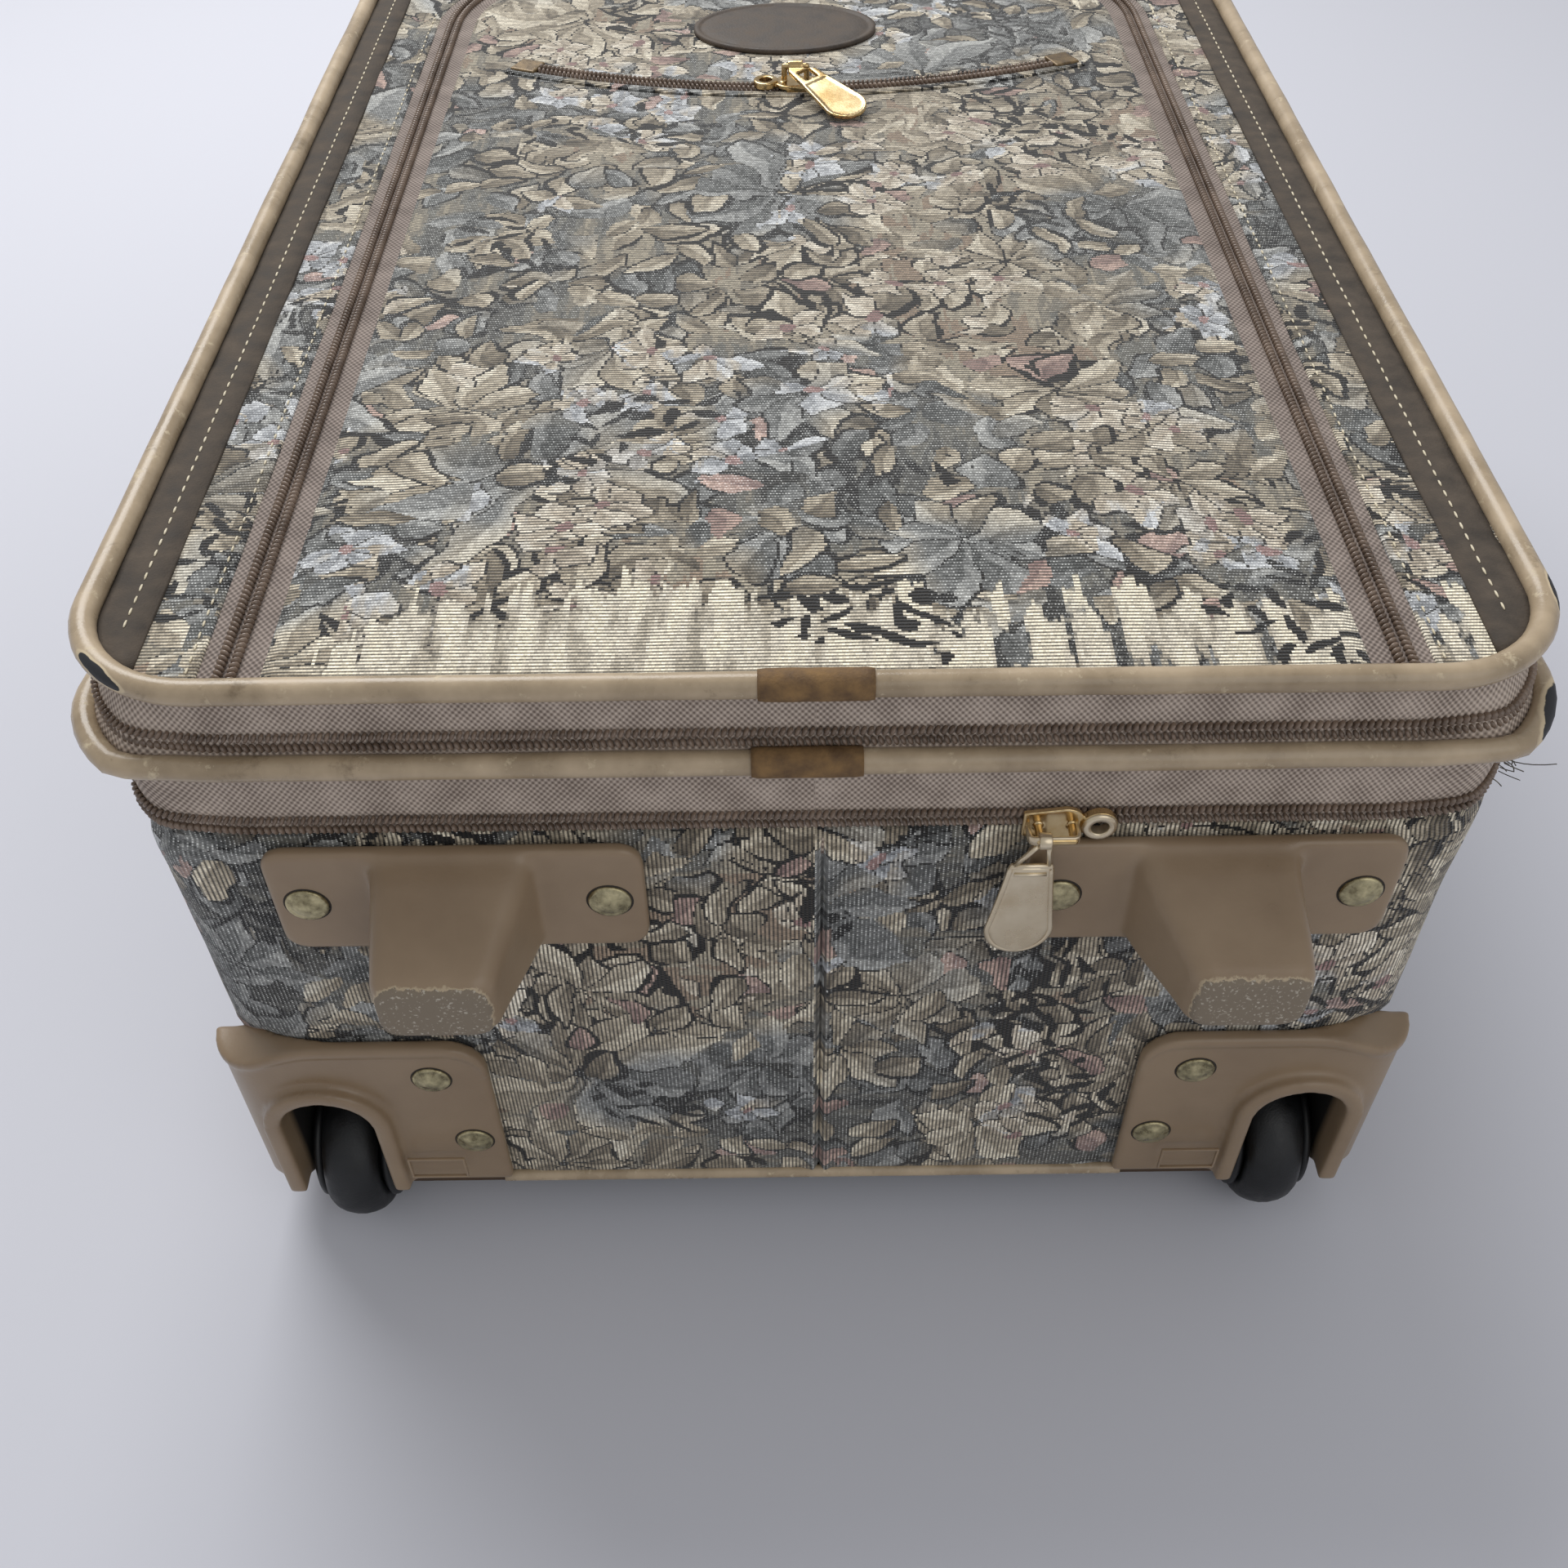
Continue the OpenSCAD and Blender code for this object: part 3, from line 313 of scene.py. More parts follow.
# %% Tapestry ground
def cloth_ground(tree, uv):
    """The bare cloth, as sockets by name."""
    woven = add(tree, "VectorMath", {0: uv, 1: (PICK, RIB / 2, 1)}, operation="SNAP").outputs[0]
    sway = add(tree, "TexNoise", {"Vector": woven, "Scale": 38.0, "Detail": 2.0}, noise_dimensions="2D")
    sway = add(tree, "VectorMath", {0: sway.outputs["Color"], 1: (0.5, 0.5, 0.5)}, operation="SUBTRACT").outputs[0]
    place = add(tree, "VectorMath", {0: sway, 1: (0.016, 0.016, 0), 2: woven}, operation="MULTIPLY_ADD").outputs[0]
    stretched = add(tree, "VectorMath", {0: woven, 1: (4.5, 1.0, 1)}, operation="MULTIPLY").outputs[0]
    hatch = add(tree, "TexNoise", {"Vector": stretched, "Scale": 38.0, "Detail": 4.0}, noise_dimensions="2D").outputs[0]
    zone = add(tree, "TexNoise", {"Vector": place, "Scale": 10.0, "Detail": 2.0}, noise_dimensions="2D").outputs[0]
    shadow = add(tree, "TexNoise", {"Vector": place, "Scale": 26.0, "Detail": 2.0}, noise_dimensions="2D").outputs[0]
    clearing = add(tree, "Attribute", attribute_name="clearing").outputs["Fac"]
    opened = add(tree, "Math", {0: hatch, 1: 0.9, 2: clearing}, operation="MULTIPLY_ADD").outputs[0]
    opened = add(tree, "Math", {0: zone, 1: 0.5, 2: opened}, operation="MULTIPLY_ADD").outputs[0]
    opened = add(tree, "MapRange", {0: opened, 1: 1.12, 2: 1.15}).outputs[0]
    hatched = add(tree, "Math", {0: hatch, 1: 0.5, 2: zone}, operation="MULTIPLY_ADD").outputs[0]
    stops = [(0.0, "#3d3c38"), (0.58, "#5d5c57"), (0.68, "#737168")]
    stops += [(0.75, "#8b8474"), (0.82, "#a49a83"), (0.9, "#99846a")]
    colour = ramp(tree, hatched, stops, "CONSTANT")
    pale = ramp(tree, hatch, [(0.2, "#938a76"), (0.42, "#bab09a"), (0.5, "#d0c7b2"), (0.62, "#dbd1b6")])
    colour = add(tree, "Mix", {0: opened, 6: colour, 7: pale}, data_type="RGBA").outputs[2]
    cream = add(tree, "MapRange", {0: hatched, 1: 0.68, 2: 0.8}).outputs[0]
    cream = add(tree, "Math", {0: cream, 1: opened}, operation="MAXIMUM").outputs[0]
    covered = add(tree, "Math", {0: 1.0, 1: opened}, operation="SUBTRACT").outputs[0]
    cloth = {"woven": woven, "place": place, "zone": zone, "shadow": shadow, "covered": covered}
    cloth.update(colour=colour, cream=cream, relief=hatch)
    return cloth


print("ground ready")

# %% [markdown]
# ## The tapestry's leaves, flowers and sprigs
# Each layer of leaves is grey-blue or cream by its zone, with a few dusty pink ones and dark ink round
# them. Small flowers with pink hearts stand in beds, and dark sprigs in a few patches.


# %% Tapestry plants
def lay_leaves(tree, cloth, grow, sizes, left_out, warm, red):
    """One layer of leaves. It takes the share left out, the shift to cream and the chance above which one is pink."""
    inside, tone, chance, pick = grow(tree, cloth["place"], *sizes)
    grey = ramp(tree, tone, [(0.1, "#2f3130"), (0.4, "#575957"), (0.65, "#7c7d7b"), (0.95, "#a9a9a4")])
    straw = ramp(tree, tone, [(0.1, "#4e4638"), (0.4, "#8a7e67"), (0.65, "#b3a78e"), (0.95, "#d8cfb8")])
    pink = ramp(tree, tone, [(0.1, "#523d3a"), (0.5, "#8d7068"), (0.9, "#b89a89")])
    family = add(tree, "Math", {0: pick, 1: 0.4, 2: cloth["zone"]}, operation="MULTIPLY_ADD").outputs[0]
    family = add(tree, "MapRange", {0: family, 1: 0.7 - warm, 2: 0.78 - warm}).outputs[0]
    leaf = add(tree, "Mix", {0: family, 6: grey, 7: straw}, data_type="RGBA").outputs[2]
    rare = add(tree, "Math", {0: chance, 1: red}, operation="GREATER_THAN").outputs[0]
    leaf = add(tree, "Mix", {0: rare, 6: leaf, 7: pink}, data_type="RGBA").outputs[2]
    keep = add(tree, "Math", {0: pick, 1: left_out}, operation="GREATER_THAN").outputs[0]
    keep = add(tree, "Math", {0: keep, 1: cloth["covered"]}, operation="MULTIPLY").outputs[0]
    mask = add(tree, "Math", {0: inside, 1: 0.25 * MM}, operation="GREATER_THAN").outputs[0]
    mask = add(tree, "Math", {0: mask, 1: keep}, operation="MULTIPLY").outputs[0]
    rim = add(tree, "MapRange", {0: cloth["shadow"], 1: 0.38, 2: 0.66, 3: 0.2 * MM, 4: -2.4 * MM}).outputs[0]
    ink = add(tree, "Math", {0: inside, 1: rim}, operation="GREATER_THAN").outputs[0]
    ink = add(tree, "Math", {0: ink, 1: keep}, operation="MULTIPLY").outputs[0]
    colour = add(tree, "Mix", {0: ink, 6: cloth["colour"], 7: linear(INK)}, data_type="RGBA").outputs[2]
    cloth["colour"] = add(tree, "Mix", {0: mask, 6: colour, 7: leaf}, data_type="RGBA").outputs[2]
    cloth["cream"] = add(tree, "Mix", {0: mask, 2: cloth["cream"], 3: family}).outputs[0]
    cloth["relief"] = add(tree, "Mix", {0: mask, 2: cloth["relief"], 3: tone}).outputs[0]


def lay_flowers(tree, cloth, size, shift):
    """Small flowers in beds. A bed's fans of petals and their pink hearts share one set of cells."""
    inside, tone = leaf_fans(tree, cloth["place"], size, shift, 6, 4.4 * MM)[:2]
    spot = plant_cells(tree, cloth["place"], size, shift)[0]
    radius = add(tree, "VectorMath", {0: spot}, operation="LENGTH").outputs["Value"]
    bed = add(tree, "TexNoise", {"Vector": cloth["woven"], "Scale": 13.0, "Detail": 1.0}, noise_dimensions="2D")
    bed = add(tree, "Math", {0: bed.outputs[0], 1: 0.54}, operation="GREATER_THAN").outputs[0]
    bed = add(tree, "Math", {0: bed, 1: cloth["covered"]}, operation="MULTIPLY").outputs[0]
    grey = ramp(tree, tone, [(0.1, "#5c5f61"), (0.5, "#93969a"), (0.9, "#bfc1c2")])
    straw = ramp(tree, tone, [(0.1, "#7a6d59"), (0.5, "#b7aa93"), (0.9, "#d9d0bc")])
    petal = add(tree, "Mix", {0: cloth["cream"], 6: grey, 7: straw}, data_type="RGBA").outputs[2]
    for field, kind, limit, colour in (
        (inside, "GREATER_THAN", -0.5 * MM, linear("#3a3734")),
        (inside, "GREATER_THAN", 0.2 * MM, petal),
        (radius, "LESS_THAN", 1.9 * MM, linear("#96726c")),
    ):
        mask = add(tree, "Math", {0: field, 1: limit}, operation=kind).outputs[0]
        mask = add(tree, "Math", {0: mask, 1: bed}, operation="MULTIPLY").outputs[0]
        cloth["colour"] = add(tree, "Mix", {0: mask, 6: cloth["colour"], 7: colour}, data_type="RGBA").outputs[2]


def lay_sprigs(tree, cloth):
    """Thin dark leaves in a few patches."""
    inside = single_leaves(tree, cloth["place"], 8.5 * MM, 7.3, 0.75, 0.17)[0]
    patch = add(tree, "TexNoise", {"Vector": cloth["woven"], "Scale": 22.0, "Detail": 0.0}, noise_dimensions="2D")
    patch = add(tree, "Math", {0: patch.outputs[0], 1: 0.68}, operation="GREATER_THAN").outputs[0]
    sprig = add(tree, "Math", {0: inside, 1: 0.0}, operation="GREATER_THAN").outputs[0]
    sprig = add(tree, "Math", {0: sprig, 1: patch}, operation="MULTIPLY").outputs[0]
    cloth["colour"] = add(tree, "Mix", {0: sprig, 6: cloth["colour"], 7: linear(INK)}, data_type="RGBA").outputs[2]


# Leaves from the ground up: their kind and sizes, the share left out, the shift to cream and the pink limit.
LEAF_LAYERS = [
    (single_leaves, (17 * MM, 0.37, 0.62, 0.34), 0.12, 0.0, 0.95),
    (single_leaves, (13 * MM, 2.71, 0.66, 0.36), 0.3, 0.03, 0.93),
    (leaf_fans, (46 * MM, 1.91, 8, 6.5 * MM), 0.45, 0.02, 1.1),
    (leaf_fans, (86 * MM, 3.23, 10, 8.5 * MM), 0.58, -0.1, 1.1),
    (single_leaves, (15 * MM, 5.11, 0.6, 0.26), 0.66, 0.08, 0.9),
]
print("leaf layers:", len(LEAF_LAYERS))

# %% [markdown]
# ## The tapestry's threads
# The cream weft stands in ribs with dark gaps, the grey areas show small pale points of warp, and every
# stitch has its own shade. Deep darks lie beside pale creams, so a gamma spreads the tones at the end.


# %% Tapestry finish
def weave_threads(tree, cloth, uv, shader):
    """Lays ribs, points and shades over the picture, and links colour, roughness and relief."""
    axes = add(tree, "SeparateXYZ", {0: uv})
    row = add(tree, "Math", {0: axes.outputs["Y"], 1: RIB}, operation="DIVIDE").outputs[0]
    rib = add(tree, "Math", {0: row, 1: math.tau}, operation="MULTIPLY").outputs[0]
    rib = add(tree, "Math", {0: rib}, operation="SINE").outputs[0]
    odd = add(tree, "Math", {0: row}, operation="FLOOR").outputs[0]
    step = add(tree, "Math", {0: axes.outputs["X"], 1: PICK}, operation="DIVIDE").outputs[0]
    step = add(tree, "Math", {0: odd, 1: 0.5, 2: step}, operation="MULTIPLY_ADD").outputs[0]
    point = add(tree, "Math", {0: step, 1: math.tau}, operation="MULTIPLY").outputs[0]
    point = add(tree, "Math", {0: point}, operation="SINE").outputs[0]
    thread = add(tree, "Math", {0: point, 1: 0.45, 2: rib}, operation="MULTIPLY_ADD").outputs[0]
    grain = add(tree, "TexWhiteNoise", {"Vector": cloth["woven"]}, noise_dimensions="2D").outputs["Value"]
    gap = add(tree, "MapRange", {0: rib, 1: 0.1, 2: -0.8, 3: 0.0, 4: 0.72}).outputs[0]
    gap = add(tree, "Math", {0: gap, 1: cloth["cream"]}, operation="MULTIPLY").outputs[0]
    colour = add(tree, "Mix", {0: gap, 6: cloth["colour"], 7: linear("#453d32")}, data_type="RGBA").outputs[2]
    spark = add(tree, "MapRange", {0: thread, 1: 0.5, 2: 1.2, 3: 0.0, 4: 0.7}).outputs[0]
    plain = add(tree, "Math", {0: 1.0, 1: cloth["cream"]}, operation="SUBTRACT").outputs[0]
    spark = add(tree, "Math", {0: spark, 1: plain}, operation="MULTIPLY").outputs[0]
    spark = add(tree, "Math", {0: spark, 1: grain}, operation="MULTIPLY").outputs[0]
    colour = add(tree, "Mix", {0: spark, 6: colour, 7: linear("#c9cac6")}, data_type="RGBA").outputs[2]
    shade = add(tree, "Math", {0: thread, 1: 0.16, 2: 0.78}, operation="MULTIPLY_ADD").outputs[0]
    shade = add(tree, "Math", {0: grain, 1: 0.45, 2: shade}, operation="MULTIPLY_ADD").outputs[0]
    colour = add(tree, "Mix", {0: 1.0, 6: colour, 7: shade}, data_type="RGBA", blend_type="MULTIPLY").outputs[2]
    colour = add(tree, "Gamma", {"Color": colour, "Gamma": TONE_SPREAD}).outputs[0]
    gain = (TONE_MIDDLE ** (1 - TONE_SPREAD),) * 3
    colour = add(tree, "VectorMath", {0: colour, 1: gain}, operation="MULTIPLY").outputs[0]
    colour = add(tree, "HueSaturation", {"Color": colour, "Saturation": 0.7}).outputs[0]
    tree.links.new(colour, shader.inputs["Base Color"])
    rough = add(tree, "Math", {0: grain, 1: 0.15, 2: 0.72}, operation="MULTIPLY_ADD").outputs[0]
    tree.links.new(rough, shader.inputs["Roughness"])
    height = add(tree, "Math", {0: cloth["relief"], 1: 0.8, 2: thread}, operation="MULTIPLY_ADD").outputs[0]
    bump = add(tree, "Bump", {"Height": height, "Strength": 0.6, "Distance": 0.25 * MM})
    tree.links.new(bump.outputs[0], shader.inputs["Normal"])


# Jacquard of dyed cotton: dull and ribbed, with a faint sheen from its fibres.
tapestry, tree, shader = new_finish("jacquard_tapestry", 0.85)
shader.inputs["Sheen Weight"].default_value = 0.22
shader.inputs["Sheen Roughness"].default_value = 0.45
uv = add(tree, "TexCoord").outputs["UV"]
cloth = cloth_ground(tree, uv)
for layer in LEAF_LAYERS:
    lay_leaves(tree, cloth, *layer)
lay_flowers(tree, cloth, 24 * MM, 6.4)
lay_sprigs(tree, cloth)
weave_threads(tree, cloth, uv, shader)
print("tapestry nodes:", len(tree.nodes))

# %% [markdown]
# ## Helpers for shapes
# Most of this case is a strip that follows the rounded outline. `outline` walks round it and says,
# for each step, where it is and which way is out. `grid_sheet` bends a grid into any sheet, and
# `sweep` uses it to lay a tube or a tape along such a walk, with its UV map in metres.

# %% Shape helpers
def outline(inset, corner, spacing=STEP):
    """Points round the case, starting in the middle of the wheel end and going to +X: (place, out, length)."""
    half = HALF_WIDTH - inset
    low, high = END_LOW + inset, END_HIGH - inset
    legs = [
        ((0, low), (half - corner, low), None),
        ((half - corner, low), (half, low + corner), (half - corner, low + corner, -90)),
        ((half, low + corner), (half, high - corner), None),
        ((half, high - corner), (half - corner, high), (half - corner, high - corner, 0)),
        ((half - corner, high), (corner - half, high), None),
        ((corner - half, high), (-half, high - corner), (corner - half, high - corner, 90)),
        ((-half, high - corner), (-half, low + corner), None),
        ((-half, low + corner), (corner - half, low), (corner - half, low + corner, 180)),
        ((corner - half, low), (0, low), None),
    ]
    walk, gone = [], 0.0
    for start, stop, bend in legs:
        span = corner * math.pi / 2 if bend else math.dist(start, stop)
        steps = max(8 if bend else 2, round(span / spacing))
        for k in range(steps):
            t = k / steps
            if bend:
                a = math.radians(bend[2] + 90 * t)
                out = Vector((math.cos(a), math.sin(a), 0))
                at = Vector((bend[0], bend[1], 0)) + out * corner
            else:
                at = Vector((start[0] + (stop[0] - start[0]) * t, start[1] + (stop[1] - start[1]) * t, 0))
                run = Vector((stop[0] - start[0], stop[1] - start[1], 0)).normalized()
                out = Vector((run.y, -run.x, 0))
            walk.append((at, out, gone + span * t))
        gone += span
    return walk


def make_object(name, mesh_edit, finishes, smooth=True):
    data = bpy.data.meshes.new(name)
    mesh_edit.to_mesh(data)
    mesh_edit.free()
    for finish in finishes:
        data.materials.append(finish)
    if smooth:
        data.polygons.foreach_set("use_smooth", [True] * len(data.polygons))
    made = bpy.data.objects.new(name, data)
    bpy.context.scene.collection.objects.link(made)
    return made


def grid_sheet(points, spots=None):
    """A sheet from rows of points: one grid operator, then every point goes to its place with its UV spot.
    Without spots, the UV map is the points' own x and y."""
    spots = spots or [[(at.x, at.y) for at in row] for row in points]
    across, along = len(points[0]), len(points)
    form = bmesh.new()
    uv = form.loops.layers.uv.new("UVMap")
    bmesh.ops.create_grid(form, x_segments=across - 1, y_segments=along - 1, size=1)
    form.verts.ensure_lookup_table()
    for vert in form.verts:
        vert.co = points[vert.index // across][vert.index % across]
    for face in form.faces:
        for corner in face.loops:
            k = corner.vert.index
            corner[uv].uv = spots[k // across][k % across]
    return form


def run_lengths(places):
    run = [0.0]
    for a, b in zip(places, places[1:]):
        run.append(run[-1] + (b - a).length)
    return run


def sweep(loop, stations, closed):
    """A tube: the loop of (out, up) offsets at each station of (place, out, up vector, scale)."""
    loop = loop + loop[:1]
    stations = stations + stations[:1] if closed else stations
    points = [[at + out * (a * grow) + rise * (b * grow) for a, b in loop] for at, out, rise, grow in stations]
    along = run_lengths([s[0] for s in stations])
    around = run_lengths([Vector((a, b, 0)) for a, b in loop])
    form = grid_sheet(points, [[(s, t) for t in around] for s in along])
    bmesh.ops.remove_doubles(form, verts=form.verts, dist=1e-7)
    if not closed:
        bmesh.ops.holes_fill(form, edges=[e for e in form.edges if e.is_boundary])
    bmesh.ops.recalc_face_normals(form, faces=form.faces)
    return form


def circle_loop(radius, count):
    return [
        (radius * math.cos(2 * math.pi * k / count), radius * math.sin(2 * math.pi * k / count)) for k in range(count)
    ]


def join_parts(parts):
    """One form out of several."""
    whole = bmesh.new()
    spare = bpy.data.meshes.new("part")
    for part in parts:
        part.to_mesh(spare)
        part.free()
        whole.from_mesh(spare)
    bpy.data.meshes.remove(spare)
    return whole


def area_of(form):
    return sum(face.calc_area() for face in form.faces)


def run_of(stations):
    """The length of a walk."""
    return run_lengths([station[0] for station in stations])[-1]


UP = Vector((0, 0, 1))
print("perimeter", round(run_of(outline(0, PLAN_CORNER)), 3), "m")

# %% [markdown]
# ## The other finishes
# Most of them are one colour that age and dirt have made uneven, so one helper gives two tones,
# a fine grain and a bump, all on Object coordinates. Each call names the real material.

# %% Plain finishes
def worn_finish(name, dark, light, patch, grain, roughness, metallic=0.0, bump=0.05, spread=0.12):
    """Two tones in patches of `patch` metres, with a grain of `grain` metres in the bump."""
    material, tree, shader = new_finish(name, roughness, metallic)
    place = add(tree, "TexCoord").outputs["Object"]
    patches = add(tree, "TexNoise", {"Vector": place, "Scale": 1 / patch, "Detail": 4.0, "Roughness": 0.6})
    tone = add(tree, "MapRange", {0: patches.outputs[0], 1: 0.32, 2: 0.68}).outputs[0]
    colour = ramp(tree, tone, [(0.0, dark), (1.0, light)])
    tree.links.new(colour, shader.inputs["Base Color"])
    fine = add(tree, "TexNoise", {"Vector": place, "Scale": 1 / grain, "Detail": 2.0}).outputs[0]
    rough = add(tree, "MapRange", {0: patches.outputs[0], 1: 0.3, 2: 0.7, 3: roughness - spread, 4: roughness + spread})
    tree.links.new(rough.outputs[0], shader.inputs["Roughness"])
    dent = add(tree, "Bump", {"Height": fine, "Strength": bump * 4, "Distance": grain * 0.3})
    tree.links.new(dent.outputs[0], shader.inputs["Normal"])
    return material


def mix_in(material, mask, colour, roughness=None):
    """Lays another colour, and a roughness, over a finish where the mask is 1."""
    tree = material.node_tree
    shader = tree.nodes["Principled BSDF"]
    base = shader.inputs["Base Color"].links[0].from_socket
    laid = add(tree, "Mix", {0: mask, 6: base, 7: linear(colour)}, data_type="RGBA").outputs[2]
    tree.links.new(laid, shader.inputs["Base Color"])
    if roughness is not None:
        rough = shader.inputs["Roughness"].links[0].from_socket
        rough = add(tree, "Mix", {0: mask, 2: rough, 3: roughness}).outputs[0]
        tree.links.new(rough, shader.inputs["Roughness"])


# Extruded vinyl piping: smoother and paler on its crown, with long scuffs.
piping_vinyl = worn_finish("tan_vinyl_piping", "#95836a", "#bfab8f", 22 * MM, 0.8 * MM, 0.3, bump=0.05)
# Glued leather sleeves: brown suede with a crumbly nap.
sleeve_leather = worn_finish("brown_leather_sleeve", "#5d452b", "#886a44", 5 * MM, 0.7 * MM, 0.8, bump=0.2)
# Nylon coil: bronze-brown and slightly shiny, so each loop catches a point of light.
coil_nylon = worn_finish("bronze_nylon_coil", "#5f4f43", "#8a7768", 12 * MM, 0.5 * MM, 0.27, bump=0.02)
# Brushed suede cloth of the side bands: dull brown-grey.
band_suede = worn_finish("brown_suede_band", "#3b342d", "#5b5147", 9 * MM, 0.6 * MM, 0.92, bump=0.2)
# Solid brass rivets, dulled and dirty.
aged_brass = worn_finish("aged_brass", "#7c7357", "#cfc49c", 3 * MM, 0.5 * MM, 0.34, metallic=0.85, bump=0.06)
# Gold-plated zinc of the sliders: bright and warm.
gold_plate = worn_finish(
    "gold_plated_zinc", "#b99a66", "#dcc69c", 8 * MM, 0.6 * MM, 0.2, metallic=1.0, bump=0.01, spread=0.05
)
# Satin champagne plating of the pull tabs.
satin_gold = worn_finish(
    "satin_champagne_plate", "#cdbb9d", "#e2d4ba", 14 * MM, 0.4 * MM, 0.28, metallic=0.85, bump=0.02, spread=0.05
)
# Tyre rubber: near black, dusty and scuffed.
tyre_rubber = worn_finish("black_wheel_rubber", "#08090a", "#17191c", 7 * MM, 0.6 * MM, 0.5, bump=0.12)
# Black moulded plastic of the hubs and the pull handle.
black_plastic = worn_finish("black_moulded_plastic", "#101011", "#1f2022", 20 * MM, 0.7 * MM, 0.5, bump=0.06)
# Anodised aluminium tubes and plated steel pins.
tube_metal = worn_finish("anodised_aluminium", "#a3a6aa", "#b9bcc0", 30 * MM, 0.3 * MM, 0.33, metallic=1.0, bump=0.02)
# Leather of the oval patch: worn brown with a fine grain.
patch_leather = worn_finish("brown_patch_leather", "#382f27", "#53473c", 8 * MM, 0.9 * MM, 0.62, bump=0.12)
# Broken threads of the cloth, grey with dirt.
frayed_thread = worn_finish("frayed_dark_thread", "#3a3730", "#6a655b", 3 * MM, 0.4 * MM, 0.9, bump=0.05)
# Painted shade: a dark ring round each rivet head, where it meets the surface.
shade_ring_finish = worn_finish("dark_rivet_grime", "#241f19", "#3a3229", 3 * MM, 0.4 * MM, 0.8, bump=0.1)
# Cream polyester thread.
cream_thread = worn_finish("cream_stitching_thread", "#cfc3a6", "#e6dcc4", 3 * MM, 0.3 * MM, 0.7, bump=0.1)
# Hardboard of the lid, seen only from inside.
brown_board = worn_finish("brown_hardboard", "#3b2c1e", "#4d3a28", 20 * MM, 0.6 * MM, 0.8, bump=0.1)


def woven_finish(name, dark, light, across, along, roughness):
    """A plain weave on the piece's own UV map, in threads of the given size."""
    material, tree, shader = new_finish(name, roughness)
    uv = add(tree, "TexCoord").outputs["UV"]
    axes = add(tree, "SeparateXYZ", {0: uv})
    a = add(tree, "Math", {0: axes.outputs["X"], 1: math.pi / across}, operation="MULTIPLY").outputs[0]
    a = add(tree, "Math", {0: a}, operation="SINE").outputs[0]
    b = add(tree, "Math", {0: axes.outputs["Y"], 1: math.pi / along}, operation="MULTIPLY").outputs[0]
    b = add(tree, "Math", {0: b}, operation="SINE").outputs[0]
    weave = add(tree, "Math", {0: a, 1: b}, operation="MULTIPLY").outputs[0]
    cloud = add(tree, "TexNoise", {"Vector": uv, "Scale": 90.0, "Detail": 3.0}).outputs[0]
    tone = add(tree, "Math", {0: cloud, 1: 0.7, 2: 0.15}, operation="MULTIPLY_ADD").outputs[0]
    tone = add(tree, "Math", {0: weave, 1: 0.38, 2: tone}, operation="MULTIPLY_ADD").outputs[0]
    tree.links.new(ramp(tree, tone, [(0.15, dark), (0.85, light)]), shader.inputs["Base Color"])
    dent = add(tree, "Bump", {"Height": weave, "Strength": 0.6, "Distance": across * 0.3})
    tree.links.new(dent.outputs[0], shader.inputs["Normal"])
    return material


# Knitted zip tape: taupe with an open mesh, drawn a little coarser than life so that it shows.
zip_tape = woven_finish("taupe_zip_tape", "#75675d", "#d0c0b2", 1.0 * MM, 0.8 * MM, 0.85)
# The same tape on the flat panel, with painted shade: a darker, greyer copy, so that the strong light from above
# doesn't pale it.
shaded_flat_tape = woven_finish("flat_tape_painted_shade", "#5a4f49", "#a3958c", 1.0 * MM, 0.8 * MM, 0.85)
# Nylon lining of the inside.
lining = woven_finish("dark_nylon_lining", "#121211", "#2c2a28", 1.0 * MM, 1.0 * MM, 0.7)
# Plain woven polyester of the underside.
back_weave = woven_finish("black_back_weave", "#15140f", "#34322c", 1.4 * MM, 1.4 * MM, 0.8)
# Bronzed end tabs of the small zip.
bronze_leather = worn_finish("bronzed_end_tab", "#54442f", "#86704f", 4 * MM, 0.6 * MM, 0.4, metallic=0.4, bump=0.08)
print("finishes:", len(bpy.data.materials))

# %% [markdown]
# ## The cloth of the tub
# One strip of tapestry goes round the tub and meets itself in an upright seam on the wheel end.
# It could be an extruded outline, but real cloth over a thin stiffener swells a little between
# its edges and puckers at the seam. So it is a grid laid round the outline, whose points then move
# out or in. Solidify gives it its thickness and the lining inside.

# %% Tub cloth
def ease(low, high, value):
    t = min(1.0, max(0.0, (value - low) / (high - low)))
    return t * t * (3 - 2 * t)


def ripple(x, y, z, size):
    return noise.noise(Vector((x, y, z)) / size)


SEAM_AT = 2 * MM
TUB_LOW, TUB_HIGH = WALL_LOW.z, WALL_HIGH.z
TUB_EDGE = ZIP_Z - 3.6 * MM
GUARD_LOW, GUARD_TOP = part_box("guard_left")[0].z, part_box("guard_left")[1].z
GUARD_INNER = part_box("guard_right")[0].x
FOOT_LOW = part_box("foot_left")[0].z
CUP_LOW, CUP_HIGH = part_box("handle_cup")
GUARD_TAIL, GUARD_FALL, GUARD_TIP, GUARD_SLOPE = 26 * MM, 9 * MM, 13 * MM, 1.55
SWELL = 7.5 * MM
WELL_TOP = 82 * MM
FREE = 20 * MM  # more than any swell, so no limit


def guard_cover(at):
    """The height up to which a corner guard covers the cloth at one place."""
    back = at.y - FACE_LOW
    if abs(at.x) < GUARD_INNER - 8 * MM or back > 66 * MM:
        return TUB_LOW
    return max(GUARD_LOW + GUARD_TAIL, min(GUARD_TOP, GUARD_TOP - GUARD_FALL - GUARD_SLOPE * (back - GUARD_TIP)))


